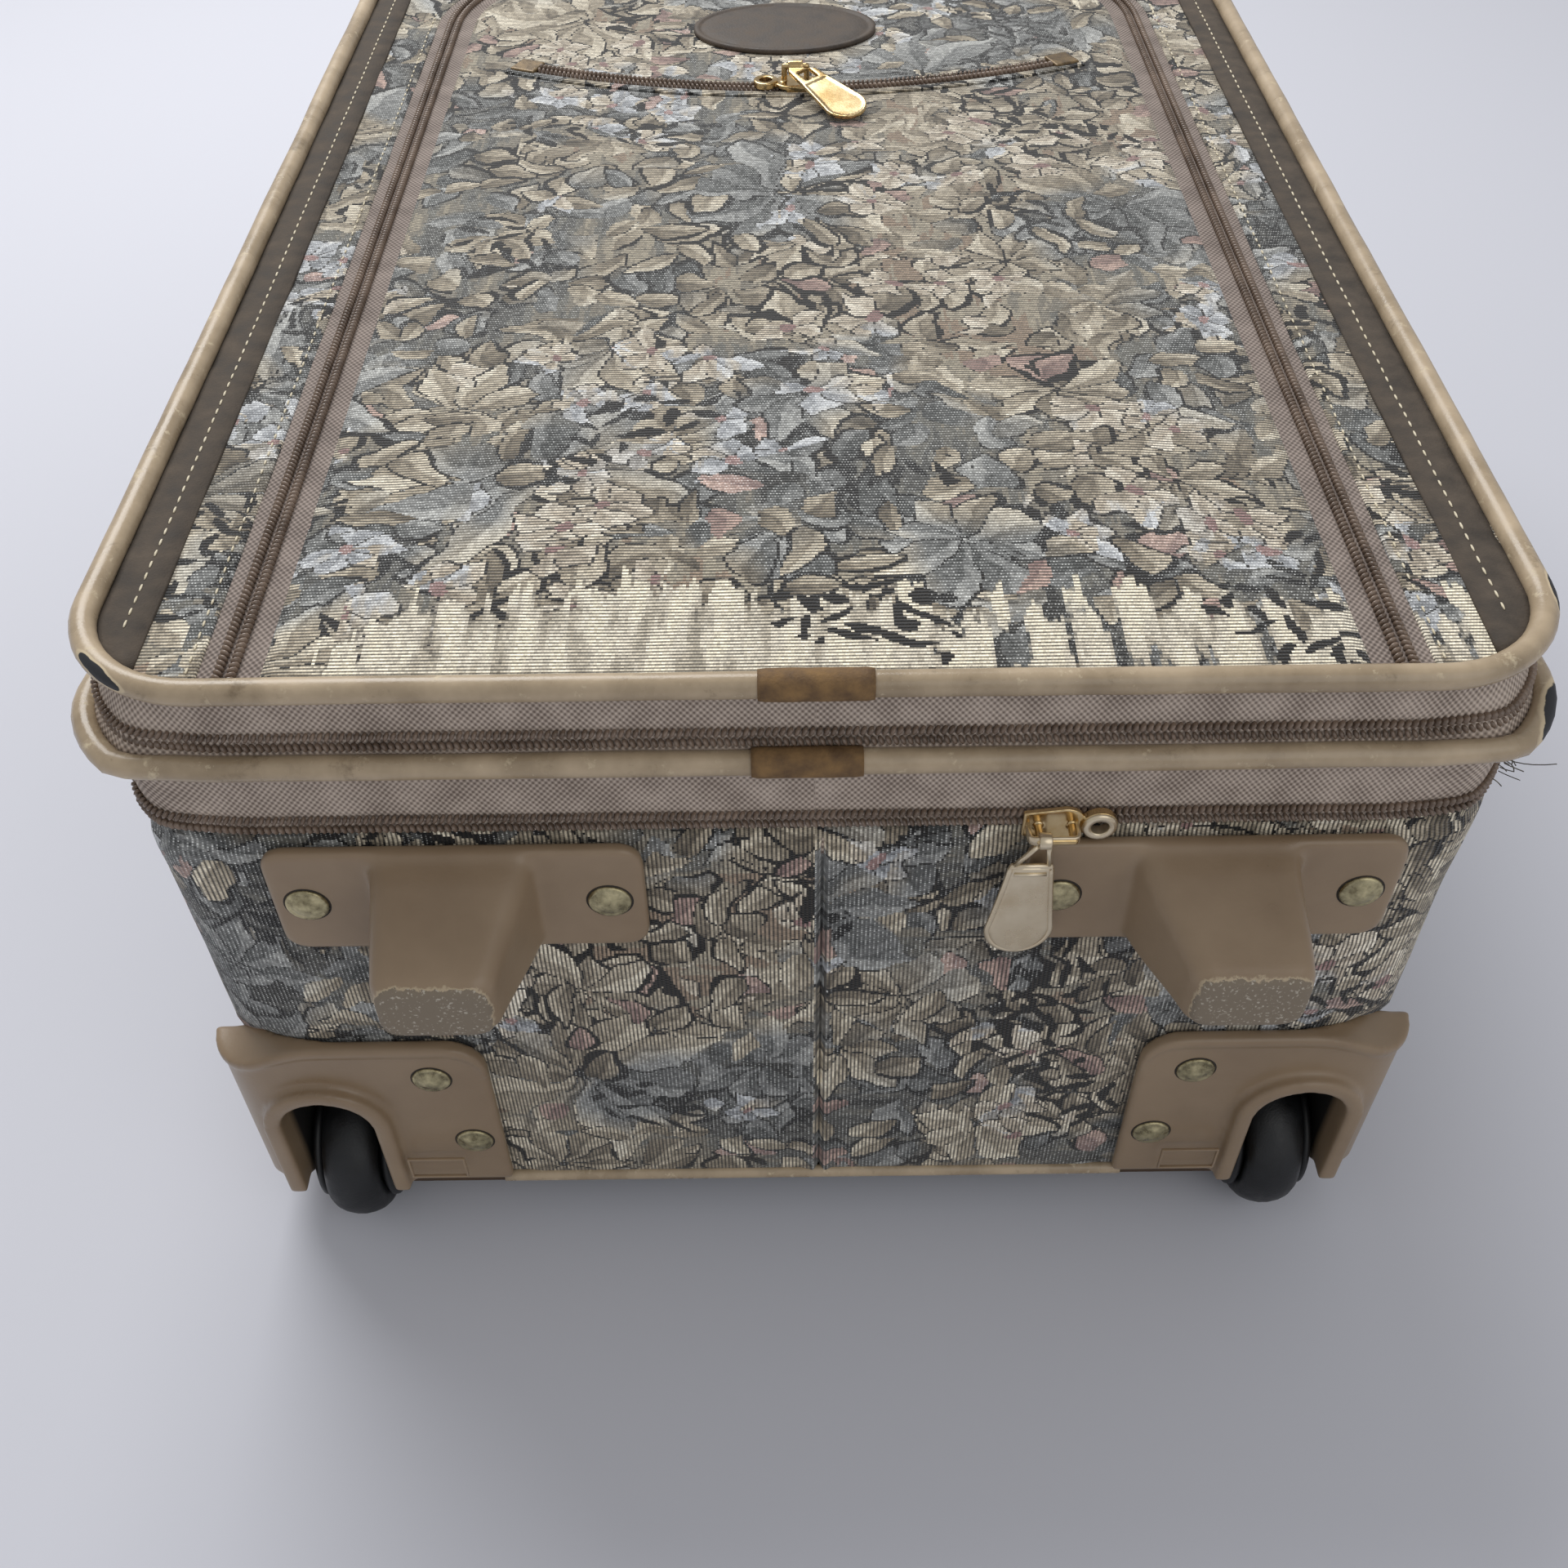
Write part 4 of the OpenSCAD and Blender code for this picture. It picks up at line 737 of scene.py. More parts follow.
def side_swell(at, inset=0.0):
    """How far a soft side stands out: most at the corners, then less along the sides. The hinge side stays flat."""
    back = min(at.y - FACE_LOW, WALL_HIGH.y - at.y) - inset
    turn = ease(-1 * MM, 9 * MM, back) * ease(HALF_WIDTH - 46 * MM, HALF_WIDTH - 30 * MM, abs(at.x))
    fade = 1 - (1.0 if at.x < 0 else 0.65) * ease(18 * MM, 62 * MM, back)
    return SWELL * turn * fade


def hinge_room(at):
    """How far a strip beside the zip may stand out on the hinge side before it passes the lid's axis."""
    if at.x > 0:
        return FREE
    lean = (-at.x - (HALF_WIDTH - WALL_CORNER - WALL_INSET)) / WALL_CORNER
    return max(0.0, (HINGE_X + at.x) / max(lean, 0.1))


def tub_push(at, up_share):
    """How far the cloth stands out from its plane: a soft swell, a few creases and the seam's fold."""
    z = TUB_LOW + (TUB_EDGE - TUB_LOW) * up_share
    edge = min(ease(0, 0.12, up_share), ease(0, 0.1, 1 - up_share))
    push = edge * (0.5 * MM + 0.9 * MM * ripple(at.x, at.y, z, 70 * MM) + 0.35 * MM * ripple(at.x, at.y, z, 22 * MM))
    cover = guard_cover(at)
    if z < cover + 6 * MM and cover > TUB_LOW:
        push = -0.6 * MM
    if at.y < FACE_LOW + 5 * MM and z > FOOT_LOW - 6 * MM:
        push = min(push, -0.1 * MM)
    if at.y > END_HIGH - 12 * MM and abs(at.x) < CUP_HIGH.x + 16 * MM:
        push = -0.3 * MM
    if at.y < FACE_LOW + 5 * MM and abs(at.x - SEAM_AT) < 14 * MM:
        away = abs(at.x - SEAM_AT) / MM
        fold = 1.0 * math.exp(-(((away - 2.2) / 1.4) ** 2)) - 2.2 * math.exp(-((away / 0.8) ** 2))
        pucker = 0.45 * math.sin(z / MM * 0.9) * math.exp(-((away - 5) ** 2) / 18)
        push += (fold + pucker * edge) * MM
    rolled = ease(TUB_HIGH - 5 * MM, TUB_HIGH - 0.5 * MM, z)
    swell = side_swell(at) * ease(cover - 8 * MM, cover + 3 * MM, z) * (0.6 + 0.2 * ease(0.15, TUB_HIGH, z))
    near_zip = ease(ZIP_Z - 34 * MM, ZIP_Z - 16 * MM, z)
    swell += (min(swell, hinge_room(at)) - swell) * near_zip
    return push * (1 - rolled) - 1.3 * MM * rolled + swell


def strip_walk(inset, corner):
    """The outline with extra steps beside the seam."""
    walk = outline(inset, corner)
    start = walk[0]
    fine = [(start[0] + Vector((k * 0.5 * MM, 0, 0)), start[1], k * 0.5 * MM) for k in range(1, 18)]
    return [start] + fine + [w for w in walk[1:] if w[2] > 9 * MM]


def cloth_ring(inset, corner, low, high, rows, push):
    """An upright strip of cloth round the case, with UV in metres: length along, height up."""
    walk = strip_walk(inset, corner)
    length = walk[-1][2] + (walk[-1][0] - walk[0][0]).length
    walk = walk + [(walk[0][0], walk[0][1], length)]
    points, spots = [], []
    for k in range(rows + 1):
        share = k / rows
        z = low + (high - low) * share
        points.append([at + out * push(at, share) + UP * z for at, out, run in walk])
        spots.append([(z, run) for at, out, run in walk])
    form = grid_sheet(points, spots)
    clear = form.verts.layers.float.new("clearing")
    for vert in form.verts:
        vert[clear] = 0.45 * ease(0.09, 0.02, vert.co.z) * ease(0.03, 0.12, vert.co.x)
    bmesh.ops.remove_doubles(form, verts=form.verts, dist=1e-7)
    bmesh.ops.recalc_face_normals(form, faces=form.faces)
    return form, length


def thicken(piece, thickness, inner_slot=0):
    wall = piece.modifiers.new("thickness", "SOLIDIFY")
    wall.thickness = thickness
    wall.offset = -1
    wall.material_offset = inner_slot
    return piece


form, tub_length = cloth_ring(WALL_INSET, WALL_CORNER, TUB_LOW, TUB_EDGE, 50, tub_push)
WHEEL_X = (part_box("tyre_right")[0].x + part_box("tyre_right")[1].x) / 2
hidden = []
for face in form.faces:
    spot = face.calc_center_median()
    if spot.y < FACE_LOW + 48 * MM and abs(abs(spot.x) - WHEEL_X) < 17 * MM and spot.z < WELL_TOP:
        hidden.append(face)
    if spot.y > END_HIGH - 8 * MM and abs(spot.x) < 56 * MM and CUP_LOW.z + 1 * MM < spot.z < CUP_HIGH.z - 1 * MM:
        hidden.append(face)
bmesh.ops.delete(form, geom=hidden, context="FACES")
tub_area = area_of(form)
tub_cloth = make_object("tub_cloth", form, [tapestry, lining])
thicken(tub_cloth, 2.4 * MM, 1)
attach(tub_cloth, "case")
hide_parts("body_wall")
print("tub cloth:", round(tub_length, 3), "m round,", round(tub_area, 3), "m2")

# %% [markdown]
# ## The front panel
# The arched zip cuts the panel's cloth into a border and a large pocket flap.
# Both are grids whose rows end on the zip's edge, so the folded hems are clean lines.
# `arch_walk` follows the zip from the wheel end up one side, round the top and down again.

# %% Panel cloth
ARCH_START = END_LOW + 5 * MM
PANEL_INSET, PANEL_CORNER = 5 * MM, 31 * MM
HEM = 7 * MM
CLOTH_THICK = 1.1 * MM


def arch_walk(grow, spacing=STEP):
    """Stations of (place, out, length) along the arched zip, grown outwards."""
    half, top, corner = ARCH_HALF + grow, ARCH_TOP + grow, ARCH_CORNER + grow
    walk = []
    side = top - corner - ARCH_START
    steps = round(side / spacing)
    arc_steps = round(corner * math.pi / 2 / spacing)
    top_steps = round(2 * (half - corner) / spacing)
    for k in range(steps):
        walk.append((Vector((-half, ARCH_START + side * k / steps, 0)), Vector((-1, 0, 0))))
    for k in range(arc_steps):
        a = math.pi - math.pi / 2 * k / arc_steps
        out = Vector((math.cos(a), math.sin(a), 0))
        walk.append((Vector((corner - half, top - corner, 0)) + out * corner, out))
    for k in range(top_steps):
        walk.append((Vector((corner - half + 2 * (half - corner) * k / top_steps, top, 0)), Vector((0, 1, 0))))
    for k in range(arc_steps):
        a = math.pi / 2 - math.pi / 2 * k / arc_steps
        out = Vector((math.cos(a), math.sin(a), 0))
        walk.append((Vector((half - corner, top - corner, 0)) + out * corner, out))
    for k in range(steps + 1):
        walk.append((Vector((half, top - corner - side * k / steps, 0)), Vector((1, 0, 0))))
    run, stations = 0.0, []
    for k, (at, out) in enumerate(walk):
        run += (at - walk[k - 1][0]).length if k else 0
        stations.append((at, out, run))
    return stations


def inside_plan(at, inset, corner):
    half = HALF_WIDTH - inset
    low, high = END_LOW + inset, END_HIGH - inset
    dx = abs(at.x) - (half - corner)
    dy = max(low + corner - at.y, at.y - (high - corner))
    return math.hypot(max(dx, 0), max(dy, 0)) < corner if dx > 0 and dy > 0 else max(dx, dy) < corner


def reach_out(at, out):
    """How far a station's ray runs before it passes under the piping."""
    reach = 0.0
    while inside_plan(at + out * (reach + 0.5 * MM), PANEL_INSET, PANEL_CORNER):
        reach += 0.5 * MM
    return reach


def panel_sheet(rows, push):
    """A sheet of panel cloth from rows of points, with UV on the panel's own x and y."""
    form = grid_sheet(rows, [[(at.x + 0.4, at.y + 0.7) for at in row] for row in rows])
    clear = form.verts.layers.float.new("clearing")
    for vert in form.verts:
        at = vert.co
        bottom = ease(END_LOW + 62 * MM, END_LOW + 22 * MM, at.y) * ease(-0.15, -0.09, at.x)
        vert[clear] = 0.55 * max(bottom, ease(0.06, 0.13, at.x) * ease(0.12, 0.2, at.y) * 0.9)
        vert.co.z += push(at)
    bmesh.ops.recalc_face_normals(form, faces=form.faces)
    if sum(face.normal.z for face in form.faces) < 0:
        bmesh.ops.reverse_faces(form, faces=form.faces)
    return form


def border_push(at):
    return 0.5 * MM * ripple(at.x, at.y, 3, 30 * MM) + 0.3 * MM * ripple(at.x, at.y, 5, 11 * MM)


rows = []
for at, out, run in arch_walk(HEM):
    wide = reach_out(at, out)
    row = [at + out * (wide * k / 8) + UP * PANEL_TOP for k in range(9)]
    hem_at = at - out * 0.4 * MM + UP * (PANEL_TOP - CLOTH_THICK * 0.7)
    rows.append([hem_at] + row)
form = panel_sheet(rows, border_push)
border_area = area_of(form)
panel_border = make_object("border_cloth", form, [tapestry, lining])
thicken(panel_border, CLOTH_THICK)
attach(panel_border, "lid")
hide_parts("panel_border")

SLIP_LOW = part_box("slip_tape")[0]
FLAP_HALF, FLAP_TOP = ARCH_HALF - HEM, ARCH_TOP - HEM
FLAP_CORNER = ARCH_CORNER - HEM


def flap_push(at):
    """A soft swell over the pocket, flat near its edges and at the small zip."""
    room = min(FLAP_HALF - abs(at.x), at.y - ARCH_START) / (60 * MM)
    level = ease(SLIP_LOW.y - 4 * MM, SLIP_LOW.y - 70 * MM, at.y)
    swell = 2.0 * MM * ease(0, 1, room) * level
    waves = 0.8 * MM * ripple(at.x, at.y, 1, 80 * MM) + 0.35 * MM * ripple(at.x * 1.6, at.y, 2, 24 * MM)
    return swell + waves * ease(0, 0.5, room) * (0.25 + 0.75 * level)


rows = []
y = ARCH_START
while y < FLAP_TOP - 0.2 * MM:
    over = y - (FLAP_TOP - FLAP_CORNER)
    half = FLAP_HALF if over <= 0 else FLAP_HALF - FLAP_CORNER + math.sqrt(max(0.0, FLAP_CORNER**2 - over**2))
    row = [Vector((half * (k / 32 - 1), y, PANEL_TOP)) for k in range(65)]
    row[0].z = row[-1].z = PANEL_TOP - CLOTH_THICK * 0.7
    rows.append(row)
    y += STEP if over < 0.03 else 1.5 * MM
form = panel_sheet(rows, flap_push)
flap_area = area_of(form)
pocket_flap = make_object("pocket_flap_cloth", form, [tapestry, lining])
thicken(pocket_flap, CLOTH_THICK)
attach(pocket_flap, "lid")
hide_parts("pocket_flap")
print("panel cloth:", round(border_area, 4), "+", round(flap_area, 4), "m2")

# %% [markdown]
# ## Pipings and their sleeves
# A vinyl bead runs round the lid's edge and another one 25 mm lower. Each is a tube laid along the
# outline, a little uneven as a sewn bead is. The ends of each bead meet under a glued leather sleeve.
# At two corners of the case the vinyl has worn through and shows the black core.

# %% Pipings
def lid_push(at, z, inset):
    """How far the lid's side stands out at one height: most at the lower bead, nothing at the front."""
    swell = side_swell(at, inset - WALL_INSET)
    if z > MID_Z:
        return swell * ease(FRONT_Z, MID_Z, z)
    at_zip = min(0.8 * swell, hinge_room(at))
    return at_zip + (swell - at_zip) * ease(ZIP_Z, MID_Z, z)


def bead_stations(height, seed):
    stations = []
    for at, out, run in outline(BEAD, PLAN_CORNER - BEAD):
        lift = 0.35 * MM * ripple(at.x, at.y, seed, 45 * MM)
        sway = 0.25 * MM * ripple(at.x, at.y, seed + 7, 60 * MM) + lid_push(at, height, BEAD)
        girth = 1 + 0.03 * ripple(at.x, at.y, seed + 3, 12 * MM)
        stations.append((at + out * sway + UP * (height + lift), out, UP, girth))
    return stations


def worn_slit(material, start, stop, thick, ragged):
    """A slit along the line from start to stop, where the black core shows inside a pale torn rim."""
    tree = material.node_tree
    place = add(tree, "TexCoord").outputs["Object"]
    middle, half = (Vector(start) + Vector(stop)) / 2, (Vector(stop) - Vector(start)) / 2
    away = add(tree, "VectorMath", {0: place, 1: middle}, operation="SUBTRACT").outputs[0]
    along = add(tree, "VectorMath", {0: away, 1: half.normalized()}, operation="DOT_PRODUCT").outputs["Value"]
    far = add(tree, "VectorMath", {0: away}, operation="LENGTH").outputs["Value"]
    square = add(tree, "Math", {0: along, 1: along}, operation="MULTIPLY").outputs[0]
    across = add(tree, "Math", {0: far, 1: 2.0}, operation="POWER").outputs[0]
    across = add(tree, "Math", {0: across, 1: square}, operation="SUBTRACT").outputs[0]
    across = add(tree, "Math", {0: across, 1: 1 / thick**2}, operation="MULTIPLY").outputs[0]
    oval = add(tree, "Math", {0: square, 1: 1 / half.length**2, 2: across}, operation="MULTIPLY_ADD").outputs[0]
    crumb = add(tree, "TexNoise", {"Vector": place, "Scale": 1 / ragged, "Detail": 3.0}).outputs[0]
    oval = add(tree, "Math", {0: crumb, 1: 0.9, 2: oval}, operation="MULTIPLY_ADD").outputs[0]
    rim = add(tree, "MapRange", {0: oval, 1: 1.6, 2: 1.9, 3: 1.0, 4: 0.0}).outputs[0]
    mix_in(material, rim, "#cdbb9c", 0.6)
    core = add(tree, "MapRange", {0: oval, 1: 1.2, 2: 1.3, 3: 1.0, 4: 0.0}).outputs[0]
    mix_in(material, core, "#222327", 0.6)


def bead_spot(side, angle, radius, height):
    """A place on the outside of a bead at one of the wheel end's corners: 0 degrees looks to the wheel end."""
    a = math.radians(angle)
    out = Vector((side * math.sin(a), -math.cos(a), 0))
    return Vector((side * (HALF_WIDTH - PLAN_CORNER), END_LOW + PLAN_CORNER, height)) + out * (radius * MM)


# Pale scuffs, then brown stains: scale, detail, roughness, low, high and most of the mask, colour and finish.
tree = piping_vinyl.node_tree
place = add(tree, "TexCoord").outputs["Object"]
for scale, detail, coarse, low, high, most, colour, rough in (
    (160.0, 5.0, 0.7, 0.6, 0.7, 1.0, "#cdbd9f", 0.6),
    (70.0, 6.0, 0.75, 0.6, 0.72, 0.7, "#6d5c45", 0.5),
):
    marks = add(tree, "TexNoise", {"Vector": place, "Scale": scale, "Detail": detail, "Roughness": coarse}).outputs[0]
    mask = add(tree, "MapRange", {0: marks, 1: low, 2: high, 3: 0.0, 4: most}).outputs[0]
    mix_in(piping_vinyl, mask, colour, rough)
# Worn slits: the corner's side, then angle, radius and height of both ends, and the thickness.
for side, start, stop, thick in (
    (-1, (54, 35.4, FRONT_Z + 2.4 * MM), (25, 36.8, FRONT_Z + 0.6 * MM), 1.8 * MM),
    (1, (96, 36.2, FRONT_Z + 1.8 * MM), (70, 36.6, FRONT_Z + 1 * MM), 2.4 * MM),
    (1, (78, 43, MID_Z + 1.4 * MM), (46, 43.6, MID_Z + 0.4 * MM), 3 * MM),
):
    worn_slit(piping_vinyl, bead_spot(side, *start), bead_spot(side, *stop), thick, 5 * MM)

for name, height, seed in (("front_piping", FRONT_Z, 1.0), ("mid_piping", MID_Z, 21.0)):
    bead = make_object(name + "_bead", sweep(circle_loop(BEAD, 14), bead_stations(height, seed), True), [piping_vinyl])
    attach(bead, "lid")
    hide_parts(name)

for name, height, middle in (("front_splice", FRONT_Z, 0.0), ("mid_splice", MID_Z, -2 * MM)):
    stations = []
    for k in range(15):
        x = middle + (k / 14 - 0.5) * 27 * MM
        lip = 0.93 if k in (0, 14) else 1 + 0.025 * ripple(x, height, 4, 4 * MM)
        stations.append((Vector((x, END_LOW + BEAD, height)), Vector((0, -1, 0)), UP, lip))
    sleeve = make_object(name + "_sleeve", sweep(circle_loop(BEAD + 0.75 * MM, 20), stations, False), [sleeve_leather])
    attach(sleeve, "lid")
    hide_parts(name)

stations = [
    (at + UP * (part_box("back_piping")[0].z + 2.1 * MM), out, UP, 1.0)
    for at, out, run in outline(WALL_INSET - 0.1 * MM, WALL_CORNER)
    if not (at.y < FACE_LOW + 72 * MM and abs(at.x) > GUARD_INNER + 7 * MM)
]
front_run = [s for s in stations if s[0].y < FACE_LOW + 5 * MM]
front_run.sort(key=lambda s: s[0].x)
rest_run = [s for s in stations if s[0].y >= FACE_LOW + 5 * MM]
for name, run in (("back_bead_wheel_end", front_run), ("back_bead_sides", rest_run)):
    bead = make_object(name, sweep(circle_loop(2.1 * MM, 10), run, False), [piping_vinyl])
    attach(bead, "case")
    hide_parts("back_piping")
print("beads done")

# %% [markdown]
# ## Zip tapes
# Knitted tapes join the cloth to the chains. Round the case they are upright bands, and on the panel
# they lie flat beside the arched zip and the small zip. Each is a thin rectangle swept along its walk,
# with the UV map in metres for the mesh.

# %% Tapes
TAPE = 1.3 * MM
TAPE_CORNER = WALL_CORNER + WALL_INSET - TAPE_INSET


def band_loop(out_low, out_high, up_low, up_high, count=4):
    """A thin rectangle with a few points along its long faces."""
    low = [(out_low, up_low + (up_high - up_low) * k / count) for k in range(count + 1)]
    high = [(out_high, up_high + (up_low - up_high) * k / count) for k in range(count + 1)]
    return low + high


def tape_push(at, z):
    """The tape's swell, with the turn-out where it is sewn into a bead."""
    seam = max(ease(4 * MM, 1 * MM, abs(z - MID_Z)), ease(5 * MM, 2 * MM, abs(z - FRONT_Z)))
    return lid_push(at, z, TAPE_INSET) + 1.8 * MM * seam


def upright_tape(name, low, high, body, node, wave):
    """A band of tape between two heights. Its flat size has room for the turn-ins."""

    def push(at, share):
        return tape_push(at, low + (high - low) * share) + wave * ripple(at.x, at.y, low, 40 * MM)

    form, length = cloth_ring(TAPE_INSET, TAPE_CORNER, low, high, 8, push)
    area = area_of(form)
    tape = make_object(name, form, [zip_tape])
    thicken(tape, TAPE)
    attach(tape, body)
    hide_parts(node)


GAP = 0.15 * MM
upright_tape("lower_zip_tape", TUB_HIGH - 8 * MM, ZIP_Z - GAP, "case", "zip_tape_lower", 0.0)
upright_tape("upper_zip_tape", ZIP_Z + GAP, MID_Z, "lid", "zip_tape_upper", 0.3 * MM)
upright_tape("expander_zip_tape", MID_Z, FRONT_Z - 2 * MM, "lid", "expander_tape", 0.3 * MM)

PANEL_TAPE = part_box("pocket_tape")[1].z
stations = [(at, out, UP, 1.0) for at, out, run in arch_walk(0)]
flat = band_loop(PANEL_TAPE - 0.6 * MM, PANEL_TAPE, -HEM - 1.5 * MM, HEM + 1.5 * MM, 6)
# The arched zip's tape takes the darker copy, with its painted shade.
tape = make_object("arch_zip_tape", sweep([(b, a) for a, b in flat], stations, False), [shaded_flat_tape], smooth=False)
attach(tape, "lid")
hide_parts("pocket_tape")

SLIP_RADIUS = 252 * MM
SLIP_CENTRE = SLIP_LOW.y + SLIP_RADIUS + TAPE_HALF
SLIP_HALF = math.radians(23.0)
SLIP_TOP = PANEL_TOP + 0.35 * MM
SLIP_WIDE = 11.2 * MM


def slip_walk(half_angle, spacing=3 * MM):
    """Stations along the small curved zip, from -X to +X, with out pointing away from its centre."""
    steps = round(2 * half_angle * SLIP_RADIUS / spacing)
    walk = []
    for k in range(steps + 1):
        a = -half_angle + 2 * half_angle * k / steps
        out = Vector((math.sin(a), -math.cos(a), 0))
        walk.append((Vector((0, SLIP_CENTRE, 0)) + out * SLIP_RADIUS, out, (a + half_angle) * SLIP_RADIUS))
    return walk


slip_stations = [(at, out, UP, 1.0) for at, out, run in slip_walk(SLIP_HALF + math.radians(2.6))]
flat = band_loop(PANEL_TOP - 0.4 * MM, SLIP_TOP, -SLIP_WIDE / 2, SLIP_WIDE / 2, 4)
# The small zip's tape takes the same darker copy, with its painted shade.
tape = make_object("small_zip_tape", sweep([(b, a) for a, b in flat], slip_stations, False), [shaded_flat_tape], smooth=False)
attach(tape, "lid")
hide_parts("slip_tape")
for name, side in (("small_zip_upper_hem", -1), ("small_zip_lower_hem", 1)):
    loop = [(side * 5.0 * MM + a * 1.3, SLIP_TOP + b * 0.5) for a, b in circle_loop(1.5 * MM, 10)]
    form = sweep(loop, slip_stations, False)
    uv = form.loops.layers.uv.active
    for face in form.faces:
        for corner in face.loops:
            corner[uv].uv = (corner.vert.co.x + 0.4, corner.vert.co.y + 0.7)
    hem = make_object(name, form, [tapestry])
    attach(hem, "lid")
print("tapes done, small zip centre", round(SLIP_CENTRE, 4))

# %% [markdown]
# ## Zip chains
# Every chain is a nylon coil: two rows of small slanted loops that meet in the middle.
# One loop is a squashed ball of 24 faces. The operator that makes it also places it, so a chain is
# one mesh with a loop at each step along its walk. The case's half and the lid's half are separate.

# %% Chains
PITCH = 1.75 * MM


def along_walk(stations, pitch, shift, closed):
    """Evenly spaced (place, out, ahead) along a walk."""
    places = [s[0] for s in stations] + ([stations[0][0]] if closed else [])
    outs = [s[1] for s in stations] + ([stations[0][1]] if closed else [])
    run = run_lengths(places)
    count = int(run[-1] / pitch)
    step = run[-1] / count
    k, made = 0, []
    for n in range(count):
        goal = (n + shift) * step
        while k < len(run) - 2 and run[k + 1] < goal:
            k += 1
        t = (goal - run[k]) / max(run[k + 1] - run[k], 1e-9)
        ahead = (places[k + 1] - places[k]).normalized()
        made.append((places[k].lerp(places[k + 1], t), outs[k].lerp(outs[k + 1], t).normalized(), ahead))
    return made


def scatter_balls(form, places, u_segments=6, v_segments=4):
    """A squashed ball at each matrix. They are made in small batches, because an operator slows as its mesh grows."""
    batch = bpy.data.meshes.new("batch")
    for start in range(0, len(places), 40):
        part = bmesh.new()
        for place in places[start : start + 40]:
            bmesh.ops.create_uvsphere(part, u_segments=u_segments, v_segments=v_segments, radius=1.0, matrix=place)
        part.to_mesh(batch)
        part.free()
        form.from_mesh(batch)
    bpy.data.meshes.remove(batch)


def axes_matrix(at, x_axis, y_axis, z_axis):
    """A matrix whose columns are three scaled axes and a place."""
    return Matrix.Translation(at) @ Matrix((x_axis, y_axis, z_axis)).transposed().to_4x4()


LOOP = (1.5 * MM, 0.66 * MM, 1.2 * MM)
LOOP_OFF = 1.62 * MM


def coil_half(form, sign, walk, closed, rise, flat, skip=None):
    """One row of loops beside a chain's middle. A flat chain faces up and an upright one faces out.
    rise gives the height of a step, and skip says where the row has a gap."""
    places = []
    for at, out, ahead in along_walk(walk, PITCH, 0.0 if sign < 0 else 0.5, closed):
        if skip and skip(at):
            continue
        side, proud = (out * sign, UP) if flat else (UP * sign, out)
        slant = (side + ahead * 0.5).normalized()
        along = proud.cross(slant).normalized()
        at = at + UP * rise(at) + side * LOOP_OFF + proud * (LOOP[2] * 0.55)
        places.append(axes_matrix(at, slant * LOOP[0], along * LOOP[1], proud * LOOP[2]))
    scatter_balls(form, places)


def chain_piece(name, body, node, signs, *row):
    """A chain, or one half of it: a row of loops for each sign."""
    form = bmesh.new()
    for sign in signs:
        coil_half(form, sign, *row)
    piece = make_object(name, form, [coil_nylon])
    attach(piece, body)
    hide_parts(node)


def swollen_walk(z):
    """The walk round the case at one height, pushed out as the tapes are."""
    around = outline(TAPE_INSET, TAPE_CORNER, 3 * MM)
    return [(at + out * lid_push(at, z, TAPE_INSET), out) for at, out, run in around]


def hinge_gap(at):
    return at.x < -HALF_WIDTH + 45 * MM and END_LOW + 48 * MM < at.y < END_HIGH - 48 * MM


def sagging(at):
    """The expander chain's height: away from its slider it sags on to the bead below it."""
    return EXPANDER_Z - 2 * MM * ease(END_HIGH - 20 * MM, END_HIGH - 70 * MM, at.y)


main_walk = swollen_walk(ZIP_Z)
for name, body, node, sign in (
    ("main_chain_lower", "case", "zip_coil_lower", -1),
    ("main_chain_upper", "lid", "zip_coil_upper", 1),
):
    chain_piece(name, body, node, [sign], main_walk, True, lambda at: ZIP_Z, False, hinge_gap)
both = (-1, 1)
chain_piece("expander_chain", "lid", "expander_coil", both, swollen_walk(EXPANDER_Z), True, sagging, False)
chain_piece("arch_chain", "lid", "pocket_coil", both, arch_walk(0), False, lambda at: PANEL_TAPE, True)
chain_piece("small_chain", "lid", "slip_coil", both, slip_walk(SLIP_HALF), False, lambda at: SLIP_TOP, True)
print("chains done")

# %% [markdown]
# ## Side bands and stitching
# A suede band covers the raw edge of the panel along its long sides and round the handle end.
# Its outer edge follows the piping, and a cream stitch runs along its inner edge.
# Each stitch is a thin capsule, placed at a step along the seam.

# %% Bands
BAND_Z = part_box("edge_band")[1].z
BAND_IN = HALF_WIDTH - (7.3 + 12.5) * MM
BAND_EDGE, BAND_CORNER = 5.4 * MM, 30.6 * MM


def plan_half(y, inset, corner):
    """Half the width of the outline at one y."""
    low, high = END_LOW + inset + corner, END_HIGH - inset - corner
    over = max(low - y, y - high, 0.0)
    return HALF_WIDTH - inset - corner + math.sqrt(max(0.0, corner**2 - over**2))


def band_point(x, y, edge):
    wave = 0.25 * MM * ripple(x, y, 9, 16 * MM)
    return Vector((x, y, BAND_Z + wave + edge))


